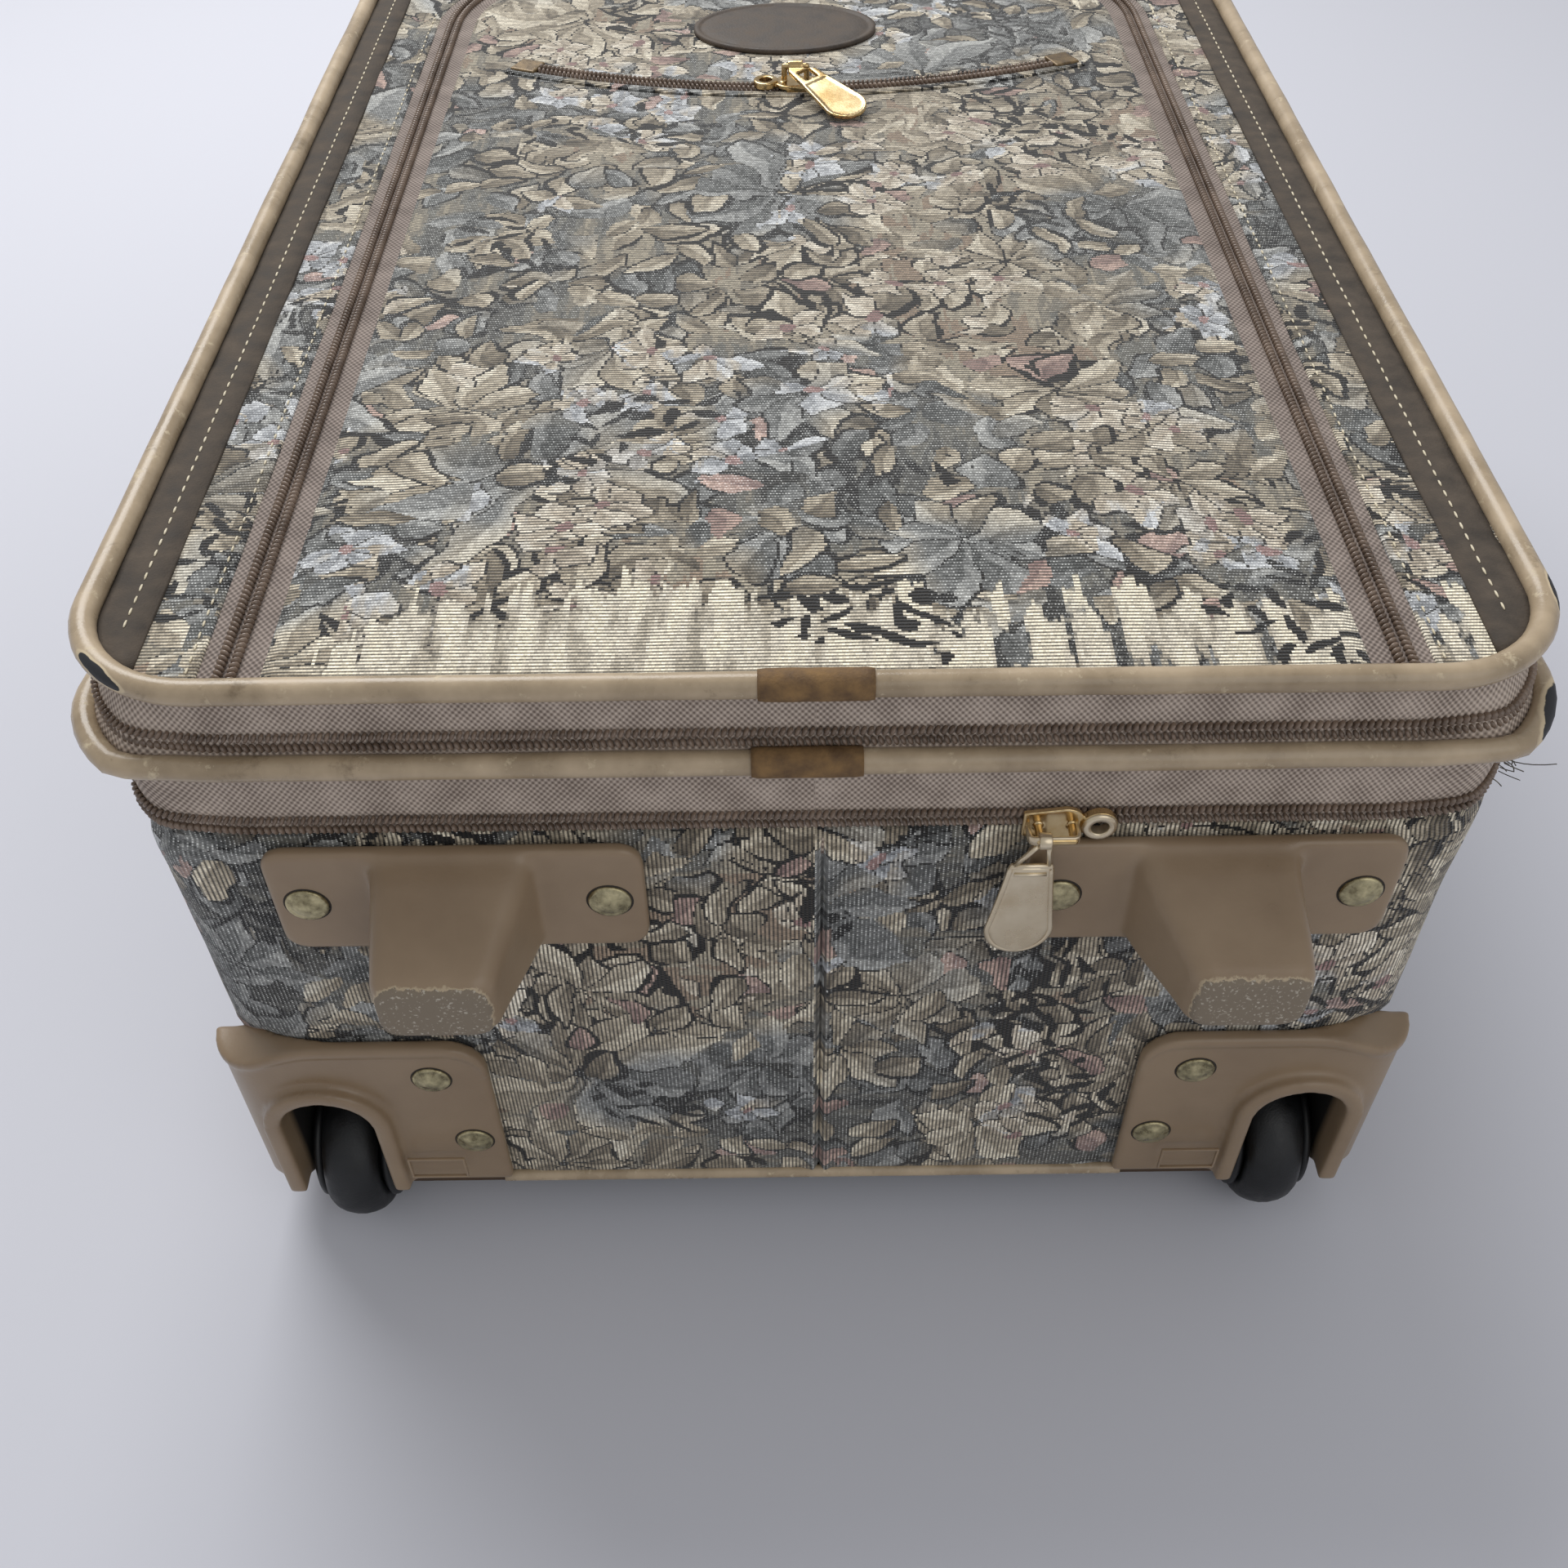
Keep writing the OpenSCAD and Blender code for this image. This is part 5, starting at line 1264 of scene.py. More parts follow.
parts = []
turn_at = END_HIGH - 60 * MM
for side in (-1, 1):
    rows, y = [], END_LOW + 12.5 * MM
    while y < turn_at + 0.1 * MM:
        outer = plan_half(y, BAND_EDGE, BAND_CORNER)
        if outer > BAND_IN + 1 * MM:
            places = [(BAND_IN - 0.3 * MM, -1.0 * MM), (BAND_IN, 0), (BAND_IN + (outer - BAND_IN) * 0.4, 0.3 * MM)]
            places += [(BAND_IN + (outer - BAND_IN) * 0.8, 0.2 * MM), (outer, -0.6 * MM)]
            rows.append([band_point(side * x, y, e) for x, e in places])
        y += STEP
    parts.append(grid_sheet(rows))
rows = []
for at, out, run in outline(BAND_EDGE, BAND_CORNER):
    if at.y >= turn_at - 2 * MM:
        inner = [(14.7, -0.6), (14.4, 0.0), (8.8, 0.3), (3.0, 0.2), (0.0, -0.6)]
        rows.append([at - out * (d * MM) + UP * (BAND_Z + e * MM) for d, e in inner])
band_form = join_parts(parts + [grid_sheet(rows)])
bmesh.ops.recalc_face_normals(band_form, faces=band_form.faces)
for face in band_form.faces:
    if face.normal.z < 0:
        face.normal_flip()
band_area = area_of(band_form)
side_bands = make_object("suede_side_bands", band_form, [band_suede])
thicken(side_bands, 0.7 * MM)
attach(side_bands, "lid")
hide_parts("edge_band")


def stitch_row(form, stations, pitch, length, proud):
    """Capsules of thread along a walk, lying on the surface that `proud` points away from."""
    places = []
    for at, out, ahead in along_walk(stations, pitch, 0.5, False):
        lift = proud * (0.12 * MM)
        side = proud.cross(ahead).normalized()
        places.append(axes_matrix(at + lift, ahead * (length / 2), side * (0.32 * MM), proud * (0.3 * MM)))
    scatter_balls(form, places)


def line_walk(points):
    return [(Vector(p), Vector((1, 0, 0))) for p in points]


thread_form = bmesh.new()
for side in (-1, 1):
    x = side * (BAND_IN + 5.6 * MM)
    low = END_LOW + 26 * MM
    steps = [low + (turn_at - low) * k / 90 for k in range(91)]
    points = [(x, y, BAND_Z + 0.3 * MM + 0.25 * MM * ripple(x, y, 9, 16 * MM)) for y in steps]
    stitch_row(thread_form, line_walk(points), 4.6 * MM, 3.2 * MM, UP)
    x = side * (ARCH_HALF + HEM + 2.2 * MM)
    steps = [END_LOW + 10 * MM + 0.41 * k / 90 for k in range(91)]
    points = [(x, y, PANEL_TOP + 0.1 * MM + border_push(Vector((x, y, 0)))) for y in steps]
    stitch_row(thread_form, line_walk(points), 4.2 * MM, 2.6 * MM, UP)
stitches = make_object("cream_stitches", thread_form, [cream_thread])
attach(stitches, "lid")
print("bands and stitches done")

# %% [markdown]
# ## Feet and corner guards
# They are injection mouldings: every edge is rounded and the block grows out of its plate in a fillet.
# Bevelling such joined forms by hand is slow, so a merged copy of the imported solid is remeshed into
# small even cells and smoothed, which rounds edges and fills inner corners alike.
# The worn end of each foot, and the painted shade that turns each wheel well black inside, are masks in the plastic's
# material.
# The feet's ends splay a little, and each guard carries a blank frame of raised lines.

# %% Mouldings
def moulded_copy(name, node, cell, passes, finish):
    """A merged copy of a solid, remeshed in cells of the given size and smoothed."""
    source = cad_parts[node]
    form = bmesh.new()
    form.from_mesh(source.data)
    form.transform(source.matrix_world)
    bmesh.ops.remove_doubles(form, verts=form.verts, dist=0.002 * MM)
    rough = make_object(name + "_raw", form, [])
    cells = rough.modifiers.new("cells", "REMESH")
    cells.mode = "VOXEL"
    cells.voxel_size = cell
    even = bpy.data.meshes.new_from_object(rough.evaluated_get(bpy.context.evaluated_depsgraph_get()))
    bpy.data.objects.remove(rough)
    form = bmesh.new()
    form.from_mesh(even)
    bpy.data.meshes.remove(even)
    for _ in range(passes):
        bmesh.ops.smooth_vert(
            form, verts=form.verts, factor=0.5, use_axis_x=True, use_axis_y=True, use_axis_z=True
        )
    bmesh.ops.recalc_face_normals(form, faces=form.faces)
    piece = make_object(name, form, [finish])
    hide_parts(node)
    return piece


FOOT_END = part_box("foot_left")[0].y
GUARD_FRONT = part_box("guard_left")[0].y + 0.3 * MM
TAN = ("#846f57", "#98836a")
# Moulded polypropylene: a soft satin tan with a faint cloudy bloom, rubbed pale and rough at the feet's ends.
foot_plastic = worn_finish("worn_tan_foot", *TAN, 50 * MM, 1.1 * MM, 0.36, bump=0.03)
tree = foot_plastic.node_tree
place = add(tree, "TexCoord").outputs["Object"]
depth = add(tree, "SeparateXYZ", {0: place}).outputs["Y"]
crumb = add(tree, "TexNoise", {"Vector": place, "Scale": 300.0, "Detail": 5.0, "Roughness": 0.75}).outputs[0]
reach = add(tree, "Math", {0: crumb, 1: 4 * MM, 2: depth}, operation="MULTIPLY_ADD").outputs[0]
edge = {0: reach, 1: FOOT_END + 3.5 * MM, 2: FOOT_END + 3.9 * MM, 3: 0.75, 4: 0.0}
mix_in(foot_plastic, add(tree, "MapRange", edge).outputs[0], "#bcab8f", 0.6)
end = {0: reach, 1: FOOT_END + 3.1 * MM, 2: FOOT_END + 3.3 * MM, 3: 1.0, 4: 0.0}
end_mask = add(tree, "MapRange", end).outputs[0]
mix_in(foot_plastic, end_mask, "#7f7363", 0.8)
specks = add(tree, "TexNoise", {"Vector": place, "Scale": 1100.0, "Detail": 2.0}).outputs[0]
specks = add(tree, "MapRange", {0: specks, 1: 0.6, 2: 0.7, 3: 0.0, 4: 0.8}).outputs[0]
specks = add(tree, "Math", {0: specks, 1: end_mask}, operation="MULTIPLY").outputs[0]
mix_in(foot_plastic, specks, "#bdb5a6", 0.5)
scratch = add(tree, "VectorMath", {0: place, 1: (1.0, 0.25, 0.4)}, operation="MULTIPLY").outputs[0]
scratch = add(tree, "TexNoise", {"Vector": scratch, "Scale": 260.0, "Detail": 5.0, "Roughness": 0.8}).outputs[0]
scratch = add(tree, "MapRange", {0: scratch, 1: 0.7, 2: 0.76, 3: 0.0, 4: 0.7}).outputs[0]
near_end = add(tree, "MapRange", {0: depth, 1: FOOT_END + 8 * MM, 2: FOOT_END + 16 * MM, 3: 1.0, 4: 0.15})
scratch = add(tree, "Math", {0: scratch, 1: near_end.outputs[0]}, operation="MULTIPLY").outputs[0]
mix_in(foot_plastic, scratch, "#c9b99d", 0.55)

# The same plastic for the guards, with painted shade: it turns near black inside each wheel well, behind the arch.
guard_plastic = worn_finish("guard_tan_plastic_with_painted_shade", *TAN, 60 * MM, 1.1 * MM, 0.36, bump=0.03)
tree = guard_plastic.node_tree
axes = add(tree, "SeparateXYZ", {0: add(tree, "TexCoord").outputs["Object"]})
aside = add(tree, "Math", {0: axes.outputs["X"]}, operation="ABSOLUTE").outputs[0]
aside = add(tree, "Math", {0: aside, 1: WHEEL_X}, operation="SUBTRACT").outputs[0]
aside = add(tree, "Math", {0: aside}, operation="ABSOLUTE").outputs[0]
painted_well_shade = add(tree, "Math", {0: aside, 1: 19.2 * MM}, operation="LESS_THAN").outputs[0]
inner = add(tree, "MapRange", {0: axes.outputs["Y"], 1: END_LOW + 4 * MM, 2: END_LOW + 8 * MM}).outputs[0]
painted_well_shade = add(tree, "Math", {0: painted_well_shade, 1: inner}, operation="MULTIPLY").outputs[0]
below = add(tree, "Math", {0: axes.outputs["Z"], 1: WELL_TOP}, operation="LESS_THAN").outputs[0]
painted_well_shade = add(tree, "Math", {0: painted_well_shade, 1: below}, operation="MULTIPLY").outputs[0]
# Painted shade: near black inside each wheel well, behind the arch and below its top.
mix_in(guard_plastic, painted_well_shade, "#14120f", 0.7)

for node in ("foot_left", "foot_right"):
    foot = moulded_copy(node + "_moulding", node, 0.8 * MM, 12, foot_plastic)
    splay = 5 * MM if node == "foot_right" else -2.5 * MM
    for vert in foot.data.vertices:
        vert.co.x += splay * ease(FACE_LOW - 4 * MM, FOOT_END, vert.co.y)
    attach(foot, "case")
for node in ("guard_left", "guard_right"):
    guard = moulded_copy(node + "_moulding", node, 0.85 * MM, 5, guard_plastic)
    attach(guard, "case")
    print(guard.name, len(guard.data.polygons), "faces")

# A blank frame of raised lines stands on each guard, below the lower rivet.
form = bmesh.new()
LABEL_X, LABEL_Z = 118.5 * MM, 44.5 * MM
for side in (-1, 1):
    for dx, dz, wide, tall in ((0, 5, 18, 0.7), (0, -5, 18, 0.7), (-8.65, 0, 0.7, 10), (8.65, 0, 0.7, 10)):
        at = Vector((side * LABEL_X + dx * MM, GUARD_FRONT, LABEL_Z + dz * MM))
        bar = Matrix.Translation(at) @ Matrix.Diagonal((wide * MM, 1.0 * MM, tall * MM, 1))
        bmesh.ops.create_cube(form, size=1, matrix=bar)
bmesh.ops.bevel(
    form, geom=form.edges[:], offset=0.2 * MM, segments=2, profile=0.5, affect="EDGES", material=-1
)
label_frames = make_object("blank_label_frames", form, [guard_plastic])
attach(label_frames, "case")

# %% [markdown]
# ## Rivets
# The rivets are low domes with a rolled rim, turned on a lathe. A profile of a few points is spun
# round the rivet's own axis, and copies go to every hole.

# %% Rivets
def turned(profile, steps=28):
    """A closed turned form about Z from (radius, height) points."""
    form = bmesh.new()
    verts = [form.verts.new((r, 0, h)) for r, h in profile]
    edges = [form.edges.new(pair) for pair in zip(verts, verts[1:])]
    bmesh.ops.spin(
        form, geom=verts + edges, cent=(0, 0, 0), axis=(0, 0, 1), angle=math.tau, steps=steps, use_merge=True
    )
    bmesh.ops.remove_doubles(form, verts=form.verts, dist=1e-7)
    bmesh.ops.recalc_face_normals(form, faces=form.faces)
    return form


HEAD = [(0, -2.2), (2.0, -2.2), (2.0, -0.2), (5.5, -0.2), (5.75, 0.2), (5.5, 0.7), (4.9, 0.9), (4.6, 0.8)]
HEAD = [(r * MM, h * MM) for r, h in HEAD + [(3.4, 1.35), (1.8, 1.75), (0, 1.9)]]


def rivet_piece(name, places, node, finish, body="case"):
    head = turned(HEAD)
    copies = []
    for at, out in places:
        copies.append(head.copy())
        copies[-1].transform(Matrix.Translation(at) @ out.to_track_quat("Z", "Y").to_matrix().to_4x4())
    head.free()
    piece = make_object(name, join_parts(copies), [finish])
    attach(piece, body)
    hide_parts(node)
    # Painted shade: a thin dark disc under each head darkens a ring round its rim.
    form = bmesh.new()
    for at, out in places:
        lay = Matrix.Translation(at - out * (0.1 * MM)) @ out.to_track_quat("Z", "Y").to_matrix().to_4x4()
        bmesh.ops.create_cone(
            form, cap_ends=True, segments=32, radius1=6.35 * MM, radius2=6.2 * MM, depth=0.3 * MM, matrix=lay
        )
    shade_disc = make_object(name + "_grime", form, [shade_ring_finish])
    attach(shade_disc, body)


def mid(node):
    low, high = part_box(node)
    return (low + high) / 2


TO_WHEEL_END = Vector((0, -1, 0))
TO_HANDLE_END = Vector((0, 1, 0))
PLATE_FACE = FACE_LOW - 4.2 * MM
HEAD_RADIUS, HEAD_HIGH = 5.5 * MM, 2.0 * MM
FOOT_Z = mid("foot_left").z
places = []
for node in ("foot_left", "foot_right"):
    for k in (-1, 1):
        places.append((Vector((mid(node).x + k * 39.5 * MM, PLATE_FACE, FOOT_Z)), TO_WHEEL_END))
rivet_piece("foot_rivet_heads", places, "foot_rivets", aged_brass)
GUARD_FACE = END_LOW + 0.6 * MM
places = []
for side in (-1, 1):
    places.append((Vector((side * (WHEEL_X - 35 * MM), GUARD_FACE, GUARD_TOP - 15.5 * MM)), TO_WHEEL_END))
    places.append((Vector((side * (WHEEL_X - 43 * MM), GUARD_FACE, GUARD_TOP - 49.5 * MM)), TO_WHEEL_END))
    side_face = Vector((side * (HALF_WIDTH - 0.6 * MM), END_LOW + (52 + 3.25) * MM, GUARD_LOW + 13 * MM))
    places.append((side_face, Vector((side, 0, 0))))
rivet_piece("guard_rivet_heads", places, "guard_rivets", aged_brass)
CARRY_LOW, CARRY_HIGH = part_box("carry_rivets")
places = []
for x in (CARRY_LOW.x + HEAD_RADIUS, CARRY_HIGH.x - HEAD_RADIUS):
    for z in (CARRY_LOW.z + HEAD_RADIUS, CARRY_HIGH.z - HEAD_RADIUS):
        places.append((Vector((x, CARRY_HIGH.y - HEAD_HIGH, z)), TO_HANDLE_END))
rivet_piece("carry_rivet_heads", places, "carry_rivets", aged_brass)
low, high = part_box("cup_rivets")
places = []
for x in (low.x + HEAD_RADIUS, high.x - HEAD_RADIUS):
    places.append((Vector((x, high.y - HEAD_HIGH, mid("cup_rivets").z)), TO_HANDLE_END))
rivet_piece("cup_rivet_heads", places, "cup_rivets", black_plastic)
print("rivets done")

# %% [markdown]
# ## Wheels
# A rubber tyre with a rounded crown runs on a black hub with a shallow dished face.
# Both are turned forms, so each is one profile and one spin, then laid on the axle.

# %% Wheels
TYRE = [(16.6, -7.4), (19.0, -8.6), (21.4, -8.9), (23.2, -8.3), (24.8, -6.6), (25.9, -4.2), (26.5, -1.4)]
TYRE = TYRE + [(r, -h) for r, h in reversed(TYRE)] + TYRE[:1]
HUB = [(3.1, -13.2), (7.6, -13.2), (8.4, -12.6), (18.6, -12.4)]
HUB += [(20.2, -11.6), (20.4, -10.4), (19.0, -9.2), (16.5, -8.8)]
HUB = HUB + [(r, -h) for r, h in reversed(HUB)] + HUB[:1]
for side in ("left", "right"):
    at = mid("tyre_" + side)
    lay = Matrix.Translation(at) @ Matrix.Rotation(math.pi / 2, 4, "Y")
    for name, profile, finish, slot, node in (
        ("tyre_", TYRE, tyre_rubber, "wheel_rubber", "tyre_" + side),
        ("hub_", HUB, black_plastic, "black_plastic", "hub_" + side),
    ):
        form = turned([(r * MM, h * MM) for r, h in profile], 48)
        form.transform(lay)
        wheel = make_object(name + side + "_turned", form, [finish])
        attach(wheel, "wheel_" + side)
        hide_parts(node)
print("wheels done")

# %% [markdown]
# ## Sliders and pull tabs
# Each zip slider is a small casting: a shield plate on the chain, two posts with a bar and a ring.
# The tab is a flat drop with a loop and a thin raised rim, and it hangs from the bar.
# The castings use the same fine remesh as the mouldings.

# %% Zip pulls
for name, finish in (("main", gold_plate), ("expander", satin_gold), ("pocket", satin_gold), ("slip", gold_plate)):
    body = moulded_copy(name + "_slider_casting", name + "_slider", 0.3 * MM, 2, finish)
    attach(body, name + "_slider")
    if name != "main":
        pull = moulded_copy(name + "_tab_casting", name + "_tab", 0.3 * MM, 2, finish)
        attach(pull, name + "_tab")
    print(body.name, len(body.data.polygons), "faces")

# %% [markdown]
# ## The main zip's bridge, ring and tab
# This slider carries a flat strip, bent like a staple over its bar, and a short thick ring beside it.
# Its tab is a long drop of sheet metal on a wire bail. The drop is a grid whose rows follow the outline,
# and a thin bead runs round it. Sweeps make the strip, the wires and the bead.

# %% Main pull
MAIN_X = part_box("main_slider")[0].x + 8 * MM
BAR = Vector((MAIN_X, END_LOW + TAPE_INSET - 9.2 * MM, ZIP_Z))


def wire(points, radius, closed=False):
    """A round wire through the points, which lie across the Y axis."""
    stations = []
    for k, at in enumerate(points):
        last = points[k - 1] if k or closed else at
        following = points[(k + 1) % len(points)] if closed or k + 1 < len(points) else at
        ahead = (following - last).normalized()
        stations.append((at, ahead.cross(TO_WHEEL_END).normalized(), TO_WHEEL_END, 1.0))
    return sweep(circle_loop(radius, 10), stations, closed)


def on_tab(a, b, proud=0.0):
    """A place on the tab, in mm from the middle of its loop: to the right, upward and away from the case."""
    return BAR + Vector((-3.2 + a, -proud + 0.04 * min(b + 4, 0), b)) * MM


diagonal = math.sqrt(0.5)
staple = [(-6.8, -5.4, -1, 0), (-6.8, -1.0, -1, 0), (-6.4, -0.3, -diagonal, diagonal), (-5.7, 0, 0, 1)]
staple += [(4.3, 0, 0, 1), (5.0, -0.3, diagonal, diagonal), (5.4, -1.0, 1, 0), (5.4, -5.4, 1, 0)]
stations = [(BAR + Vector((a, -d, 0)) * MM, Vector((x, -y, 0)), UP, 1.0) for a, d, x, y in staple]
flat = [(0.5, -1.1), (0.5, 1.1), (0.35, 1.3), (-0.35, 1.3)]
flat += [(-a, -b) for a, b in flat]
bridge = sweep([(a * MM, b * MM) for a, b in flat], stations, False)
RING = [(2.5, -1.7), (3.9, -1.7), (4.4, -1.2), (4.4, 1.2), (3.9, 1.7), (2.5, 1.7), (2.3, 1.3), (2.3, -1.3)]
ring = turned([(r * MM, h * MM) for r, h in RING + RING[:1]])
ring.transform(Matrix.Translation(BAR + Vector((11.2, 5.6, 0)) * MM) @ Matrix.Rotation(math.pi / 2, 4, "X"))
fittings = make_object("main_bridge_and_ring", join_parts([bridge, ring]), [satin_gold])
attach(fittings, "main_slider")


def drop_row(share):
    """Middle, half width and height of the drop at one share of its length, in mm."""
    b = -9.2 - 31.8 * share
    if b > -32.8:
        half = 5.1 + 3.1 * ((-9.2 - b) / 23.6) ** 1.2
    else:
        half = math.sqrt(max(0.3, 8.2**2 - (b + 32.8) ** 2))
    return -2.3 - 1.6 * share, half, b


rows, left_edge, right_edge = [], [], []
for k in range(41):
    middle, half, b = drop_row(math.sin(k / 40 * math.pi / 2))
    rows.append([on_tab(middle + half * u / 5, b, 0.6 + 0.25 * (1 - (u / 5) ** 2)) for u in range(-5, 6)])
    left_edge.append(on_tab(middle - half, b))
    right_edge.append(on_tab(middle + half, b))
drop = grid_sheet(rows, [[(at.x, at.z) for at in row] for row in rows])
bmesh.ops.recalc_face_normals(drop, faces=drop.faces)
for face in drop.faces:
    if face.normal.y > 0:
        face.normal_flip()
drop_piece = make_object("main_tab_drop", drop, [satin_gold])
thicken(drop_piece, 1.3 * MM)
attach(drop_piece, "main_tab")
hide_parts("main_tab")
rim = wire(left_edge + right_edge[::-1], 0.85 * MM, True)
bail = wire([on_tab(-1.1, -1.5), on_tab(-3.4, -4.8), on_tab(-7.0, -9.4)], 0.7 * MM)
other = wire([on_tab(1.4, -1.5), on_tab(1.7, -4.8), on_tab(2.1, -9.4)], 0.7 * MM)
ridge = wire([on_tab(-6.6, -11.4, 0.8), on_tab(-2.5, -11.4, 0.9), on_tab(1.6, -11.4, 0.8)], 0.5 * MM)
SLEEVE = [(1.5, -1.4), (2.0, -1.4), (2.2, -1.1), (2.2, 1.5), (2.0, 1.8), (1.5, 1.8), (1.5, -1.4)]
sleeve = turned([(r * MM, h * MM) for r, h in SLEEVE])
sleeve.transform(Matrix.Translation(on_tab(0, 0)) @ Matrix.Rotation(math.pi / 2, 4, "Y"))
rim_piece = make_object("main_tab_rim_and_bail", join_parts([rim, bail, other, ridge, sleeve]), [satin_gold])
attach(rim_piece, "main_tab")
print("main pull", len(drop_piece.data.polygons) + len(rim_piece.data.polygons), "faces")

# %% [markdown]
# ## Frayed threads
# At the right-hand corner of the wheel end the cloth has frayed under the lower bead.
# Short broken threads stand out there, and one long thread hangs loose. Each is a thin bent wire.

# %% Frayed threads
fray = random.Random(5)
parts = []
for k in range(22):
    angle, long = fray.uniform(40, 78), fray.uniform(1.5, 4.5)
    start = bead_spot(1, angle, 37.6, MID_Z - fray.uniform(5, 14) * MM)
    if k == 0:
        angle, long = 52, 9
        start = bead_spot(1, angle, 37.6, MID_Z - 12 * MM)
    away = Vector((math.sin(math.radians(angle)), -math.cos(math.radians(angle)), 0))
    bend = Vector((fray.uniform(-0.6, 0.6), fray.uniform(-0.6, 0.6), fray.uniform(-0.9, 0.4)))
    points = [start + (away * t + bend * t * t * 0.7) * (long * MM) for t in (0, 0.2, 0.4, 0.6, 0.8, 1)]
    parts.append(wire(points, 0.14 * MM))
threads = make_object("frayed_threads", join_parts(parts), [frayed_thread])
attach(threads, "case")
print("frayed threads:", len(parts))

# %% [markdown]
# ## The oval patch and the small zip's end tabs
# The patch is a leather oval with a rim pressed round it. Five insets of the top face, most raised
# or sunk a little, give the rim and round it. The end tabs are folded leather squares that cover the ends of the small
# zip.

# %% Patch and end tabs
PATCH_LOW, PATCH_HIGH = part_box("oval_patch")
form = bmesh.new()
bmesh.ops.create_circle(form, cap_ends=True, segments=96, radius=1.0)
half = (PATCH_HIGH - PATCH_LOW) / 2
bmesh.ops.scale(form, vec=(half.x, half.y, 1), verts=form.verts)
made = bmesh.ops.extrude_face_region(form, geom=form.faces[:])
top = [v for v in made["geom"] if isinstance(v, bmesh.types.BMVert)]
bmesh.ops.translate(form, vec=(0, 0, PATCH_HIGH.z - PATCH_LOW.z), verts=top)
face = max(form.faces, key=lambda f: f.calc_center_median().z)
PRESSED = [(0.9, 0.25), (1.1, 0.0), (0.5, -0.55), (0.8, 0.25), (5, 0.12)]
for inward, rise in PRESSED:
    bmesh.ops.inset_region(form, faces=[face], thickness=inward * MM, depth=rise * MM)
bmesh.ops.recalc_face_normals(form, faces=form.faces)
bmesh.ops.translate(form, vec=((PATCH_LOW + PATCH_HIGH) / 2).xy.to_3d() + UP * PATCH_LOW.z, verts=form.verts)
patch = make_object("oval_patch_leather", form, [patch_leather])
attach(patch, "lid")
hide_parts("oval_patch")

end_tabs = moulded_copy("slip_end_tabs_folded", "slip_end_tabs", 0.35 * MM, 3, bronze_leather)
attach(end_tabs, "lid")
print("patch and end tabs done")

# %% [markdown]
# ## The hinge strip
# The lid hangs on a fabric strip along one long side. It is an upright grid along the fold with a faint
# ripple, thickened to both sides, and it stays where it is made.

# %% Hinge strip
HINGE_LOW, HINGE_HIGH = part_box("hinge_band")
strip_x = -HALF_WIDTH + TAPE_INSET - 0.25 * MM
rows = []
for k in range(15):
    z = ZIP_Z + (-8.4 + 1.0 * k) * MM
    steps = [HINGE_LOW.y + (HINGE_HIGH.y - HINGE_LOW.y) * j / 96 for j in range(97)]
    rows.append([Vector((strip_x + 0.15 * MM * ripple(3, y, z, 14 * MM), y, z)) for y in steps])
form = grid_sheet(rows, [[(at.y, at.z) for at in row] for row in rows])
bmesh.ops.recalc_face_normals(form, faces=form.faces)
strip_area = area_of(form)
hinge_strip = make_object("hinge_strip", form, [band_suede])
thicken(hinge_strip, 0.9 * MM)
hinge_strip.modifiers["thickness"].offset = 0
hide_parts("hinge_band")
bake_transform(hinge_strip)
print("hinge strip", round(strip_area * 1e4, 1), "cm2")

# %% [markdown]
# ## The handle end
# A carry handle of stuffed vinyl bows over the end, with a row of stitches near each edge.
# Below it the pull handle's grip lies in front of a moulded cup. The mouldings get the same
# softened copies as the guards, and the handle is a sweep of an oval section along its own bow.

# %% Carry handle
BOW_LOW, BOW_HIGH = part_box("carry_handle")
BOW_Z = (BOW_LOW.z + BOW_HIGH.z) / 2
bow_half, bow_rise = BOW_HIGH.x - 3.5 * MM, BOW_HIGH.y - BOW_LOW.y - 3.5 * MM
bow_turn = bow_rise - 0.5 * MM


def bow_walk(steps=14):
    """The handle's middle line, from one bracket up, along and down to the other."""
    places = [Vector((-bow_half, BOW_LOW.y, 0))]
    for k in range(steps + 1):
        a = math.pi - math.pi / 2 * k / steps
        x = -bow_half + bow_turn + bow_turn * math.cos(a)
        places.append(Vector((x, BOW_LOW.y + bow_rise - bow_turn + bow_turn * math.sin(a), 0)))
    last = places[-1]
    places += [Vector((last.x * (1 - k / 20), last.y, 0)) for k in range(1, 20)]
    places += [Vector((0, last.y, 0))]
    return places + [Vector((-p.x, p.y, 0)) for p in reversed(places[:-1])]


def bow_stations(points):
    stations = []
    for k, at in enumerate(points):
        ahead = (points[min(k + 1, len(points) - 1)] - points[max(k - 1, 0)]).normalized()
        out = Vector((-ahead.y, ahead.x, 0))
        puff = 0.93 + 0.07 * ripple(at.x, at.y, 2, 24 * MM)
        stations.append((at + UP * BOW_Z, out, UP, puff))
    return stations


half_wide = (BOW_HIGH.z - BOW_LOW.z) / 2
section = []
for k in range(28):
    a = math.tau * k / 28
    flat = math.copysign(abs(math.cos(a)) ** 0.8, math.cos(a)) * 3.6 * MM
    wide = math.copysign(abs(math.sin(a)) ** 0.6, math.sin(a)) * half_wide
    section.append((flat, wide))
bow = bow_stations(bow_walk())
carry = make_object("carry_handle_stuffed", sweep(section, bow, False), [piping_vinyl])
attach(carry, "case")
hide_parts("carry_handle")
form = bmesh.new()
for z in (BOW_Z - half_wide + 3.4 * MM, BOW_Z + half_wide - 3.4 * MM):
    walk = [(at + out * (3.3 * MM) + UP * (z - BOW_Z), out) for at, out, rise, puff in bow[2:-2]]
    steps = along_walk(walk, 4.4 * MM, 0.5, False)
    places = []
    for at, out, ahead in steps:
        places.append(axes_matrix(at, ahead * (1.5 * MM), UP * (0.35 * MM), out * (0.3 * MM)))
    scatter_balls(form, places)
handle_stitch = make_object("carry_handle_stitches", form, [cream_thread])
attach(handle_stitch, "case")
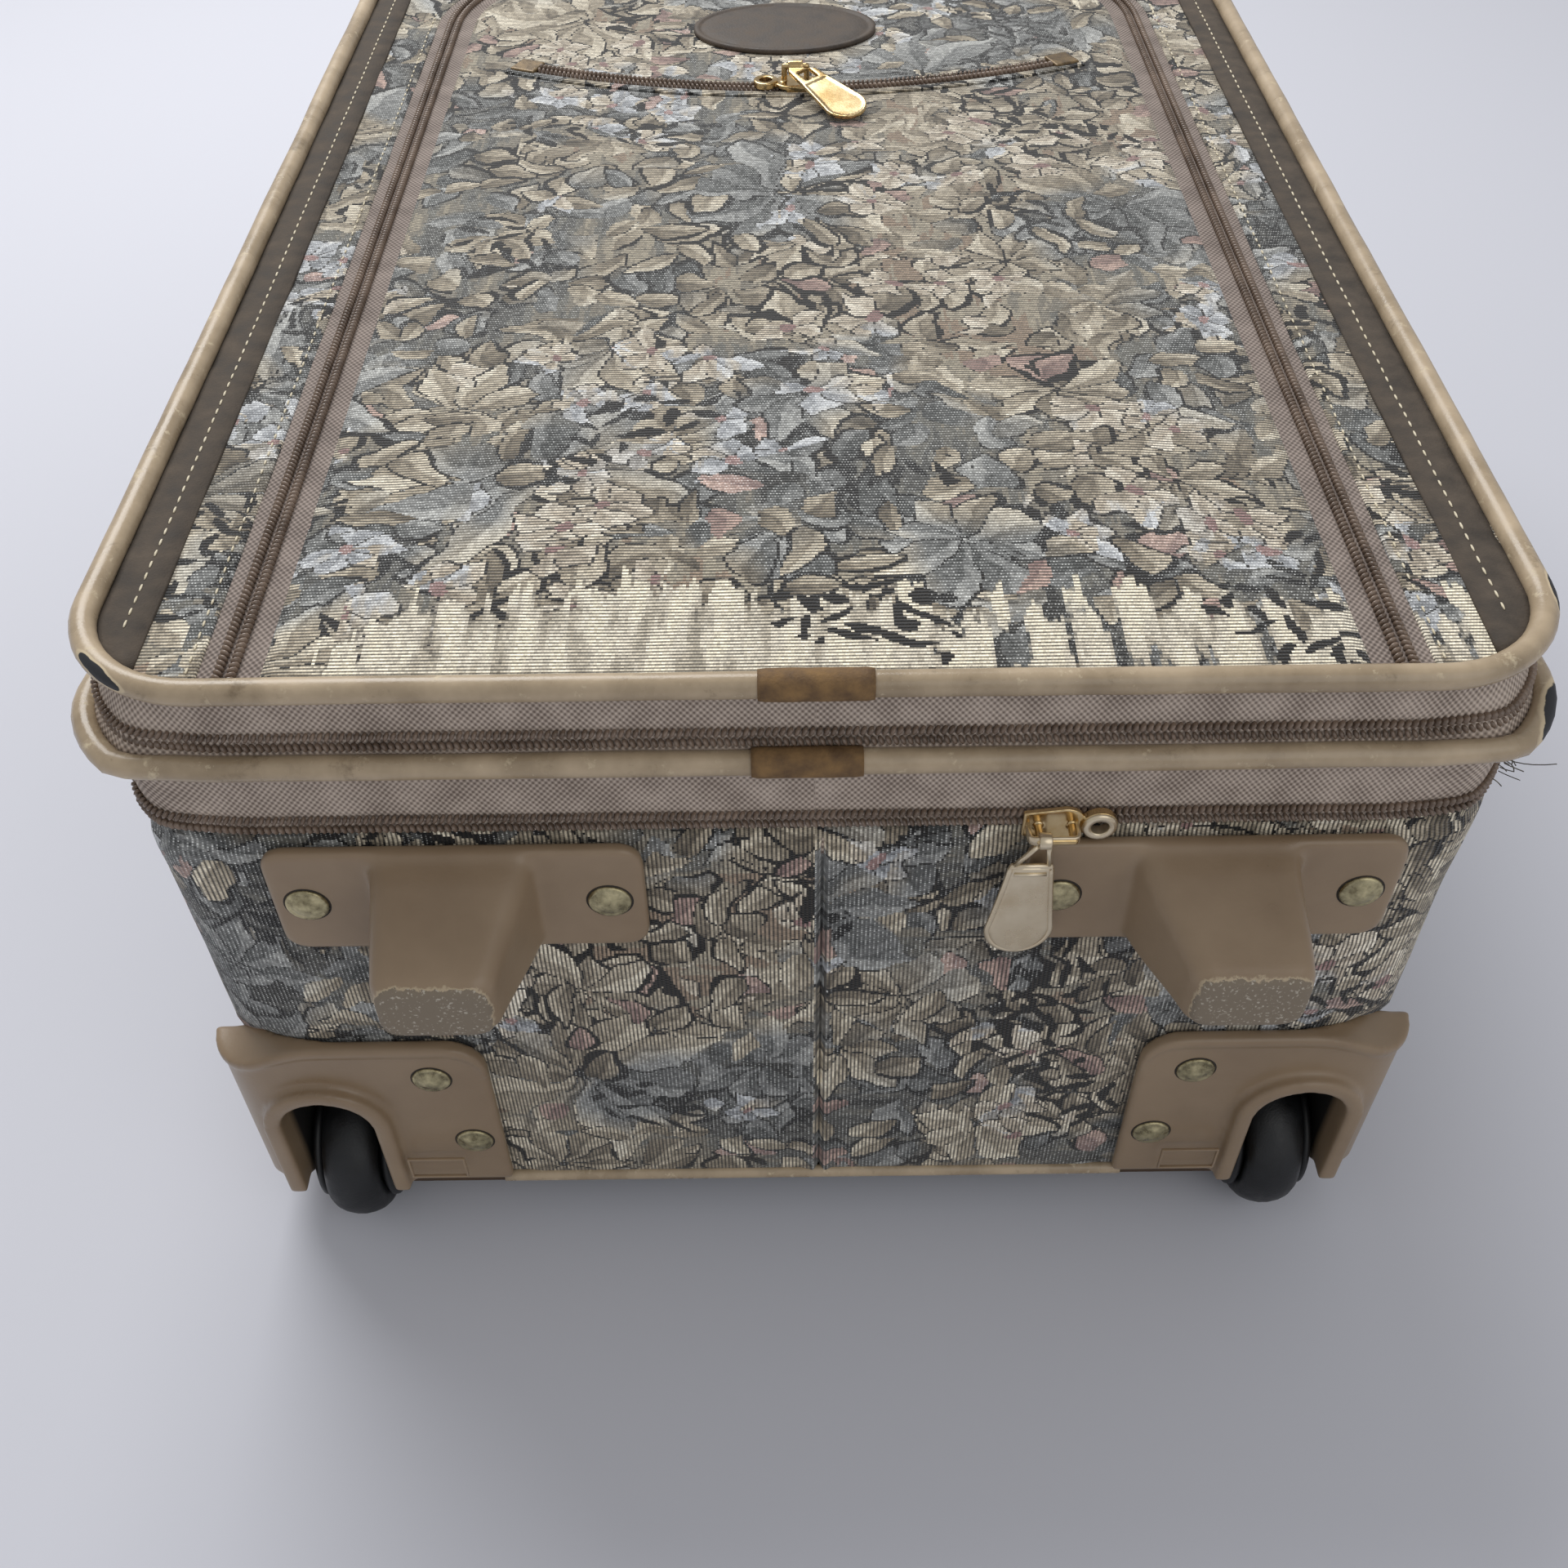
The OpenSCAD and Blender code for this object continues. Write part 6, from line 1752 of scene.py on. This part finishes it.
for node, cell, passes, finish, slot, body in (
    ("carry_brackets", 0.6 * MM, 3, satin_gold, "brass", "case"),
    ("handle_cup", 0.9 * MM, 3, black_plastic, "black_plastic", "case"),
    ("pull_grip", 0.7 * MM, 6, black_plastic, "black_plastic", "pull_handle"),
):
    piece = moulded_copy(node + "_moulding", node, cell, passes, finish)
    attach(piece, body)
    print(piece.name, len(piece.data.polygons), "faces")

# %% [markdown]
# ## Back, lid lining and floor of the case
# The underside is a plain woven cloth over a board, as such cases have. Inside, the lid and the
# floor are covered by lining cloth. Each is a grid cut to the outline, with shallow waves.

# %% Flat cloths
def cut_rows(inset, corner, height, wave, span):
    """Rows across the outline: each ends on the outline, and its height has shallow waves."""
    low, high = END_LOW + inset, END_HIGH - inset
    rows = []
    for k in range(span + 1):
        t = k / span
        y = low + (high - low) * (t + 0.012 * math.sin(math.tau * t) * -1)
        half = plan_half(y, inset, corner)
        spots = [half * (2 * j / 40 - 1) for j in range(41)]
        rows.append([Vector((x, y, height + wave * ripple(x, y, 4, 46 * MM))) for x in spots])
    return rows


def flat_cloth(name, rows, finish, body, drop=None):
    form = grid_sheet(rows)
    cut = []
    for face in form.faces:
        if drop and drop(face.calc_center_median()):
            cut.append(face)
    bmesh.ops.delete(form, geom=cut, context="FACES")
    bmesh.ops.recalc_face_normals(form, faces=form.faces)
    area = area_of(form)
    cloth = make_object(name, form, [finish])
    thicken(cloth, 0.8 * MM)
    cloth.modifiers["thickness"].offset = 0
    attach(cloth, body)
    print(name, round(area, 3), "m2")
    return cloth


def over_wells(at):
    return at.y < FACE_LOW + 62 * MM and abs(at.x) > GUARD_INNER + 4 * MM


FLOOR_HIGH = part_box("lining_floor")[1]
back_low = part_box("back_panel")[0].z
flat_cloth(
    "back_cloth", cut_rows(6.6 * MM, 32 * MM, back_low - 0.6 * MM, 0.2 * MM, 90),
    back_weave, "case", over_wells,
)
floor_cloth = flat_cloth(
    "floor_lining", cut_rows(9.6 * MM, 28 * MM, FLOOR_HIGH.z + 0.9 * MM, 0.5 * MM, 90),
    lining, "case", over_wells,
)
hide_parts("lining_floor")
board_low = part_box("lid_board")[0].z
flat_cloth(
    "lid_lining", cut_rows(9.8 * MM, 27 * MM, board_low - 1.0 * MM, 0.35 * MM, 90),
    lining, "lid",
)

# %% [markdown]
# ## The lid's side wall
# The lid's wall is a strip of stiffened lining that the zip tapes are sewn to.
# It is an upright ring like the tub's cloth, with tape fabric outside and lining inside.

# %% Lid wall
GUSSET_LOW, GUSSET_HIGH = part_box("lid_gusset")
GUSSET_INSET = HALF_WIDTH - GUSSET_HIGH.x
form, gusset_length = cloth_ring(
    GUSSET_INSET, WALL_CORNER + WALL_INSET - GUSSET_INSET, GUSSET_LOW.z, GUSSET_HIGH.z, 10, lambda at, share: -0.1 * MM
)
gusset_area = area_of(form)
lid_wall = make_object("lid_wall_cloth", form, [zip_tape, lining])
thicken(lid_wall, 1.9 * MM, 1)
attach(lid_wall, "lid")
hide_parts("lid_gusset")
print("lid wall", round(gusset_length, 3), "m round")

# %% [markdown]
# ## Finishes for the plain solids
# Boards, tubes and axles have the right shape already, so they keep their solids and get a finish.

# %% Finishes on solids
for node, finish in (
    ("back_panel", brown_board), ("lid_board", brown_board), ("axle_left", tube_metal), ("axle_right", tube_metal),
    ("guide_tube_left", tube_metal), ("guide_tube_right", tube_metal), ("tube_bracket", black_plastic),
    ("pull_tube_left", tube_metal), ("pull_tube_right", tube_metal),
):
    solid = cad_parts[node]
    for slot in solid.material_slots:
        slot.material = finish
print("finishes on solids done")
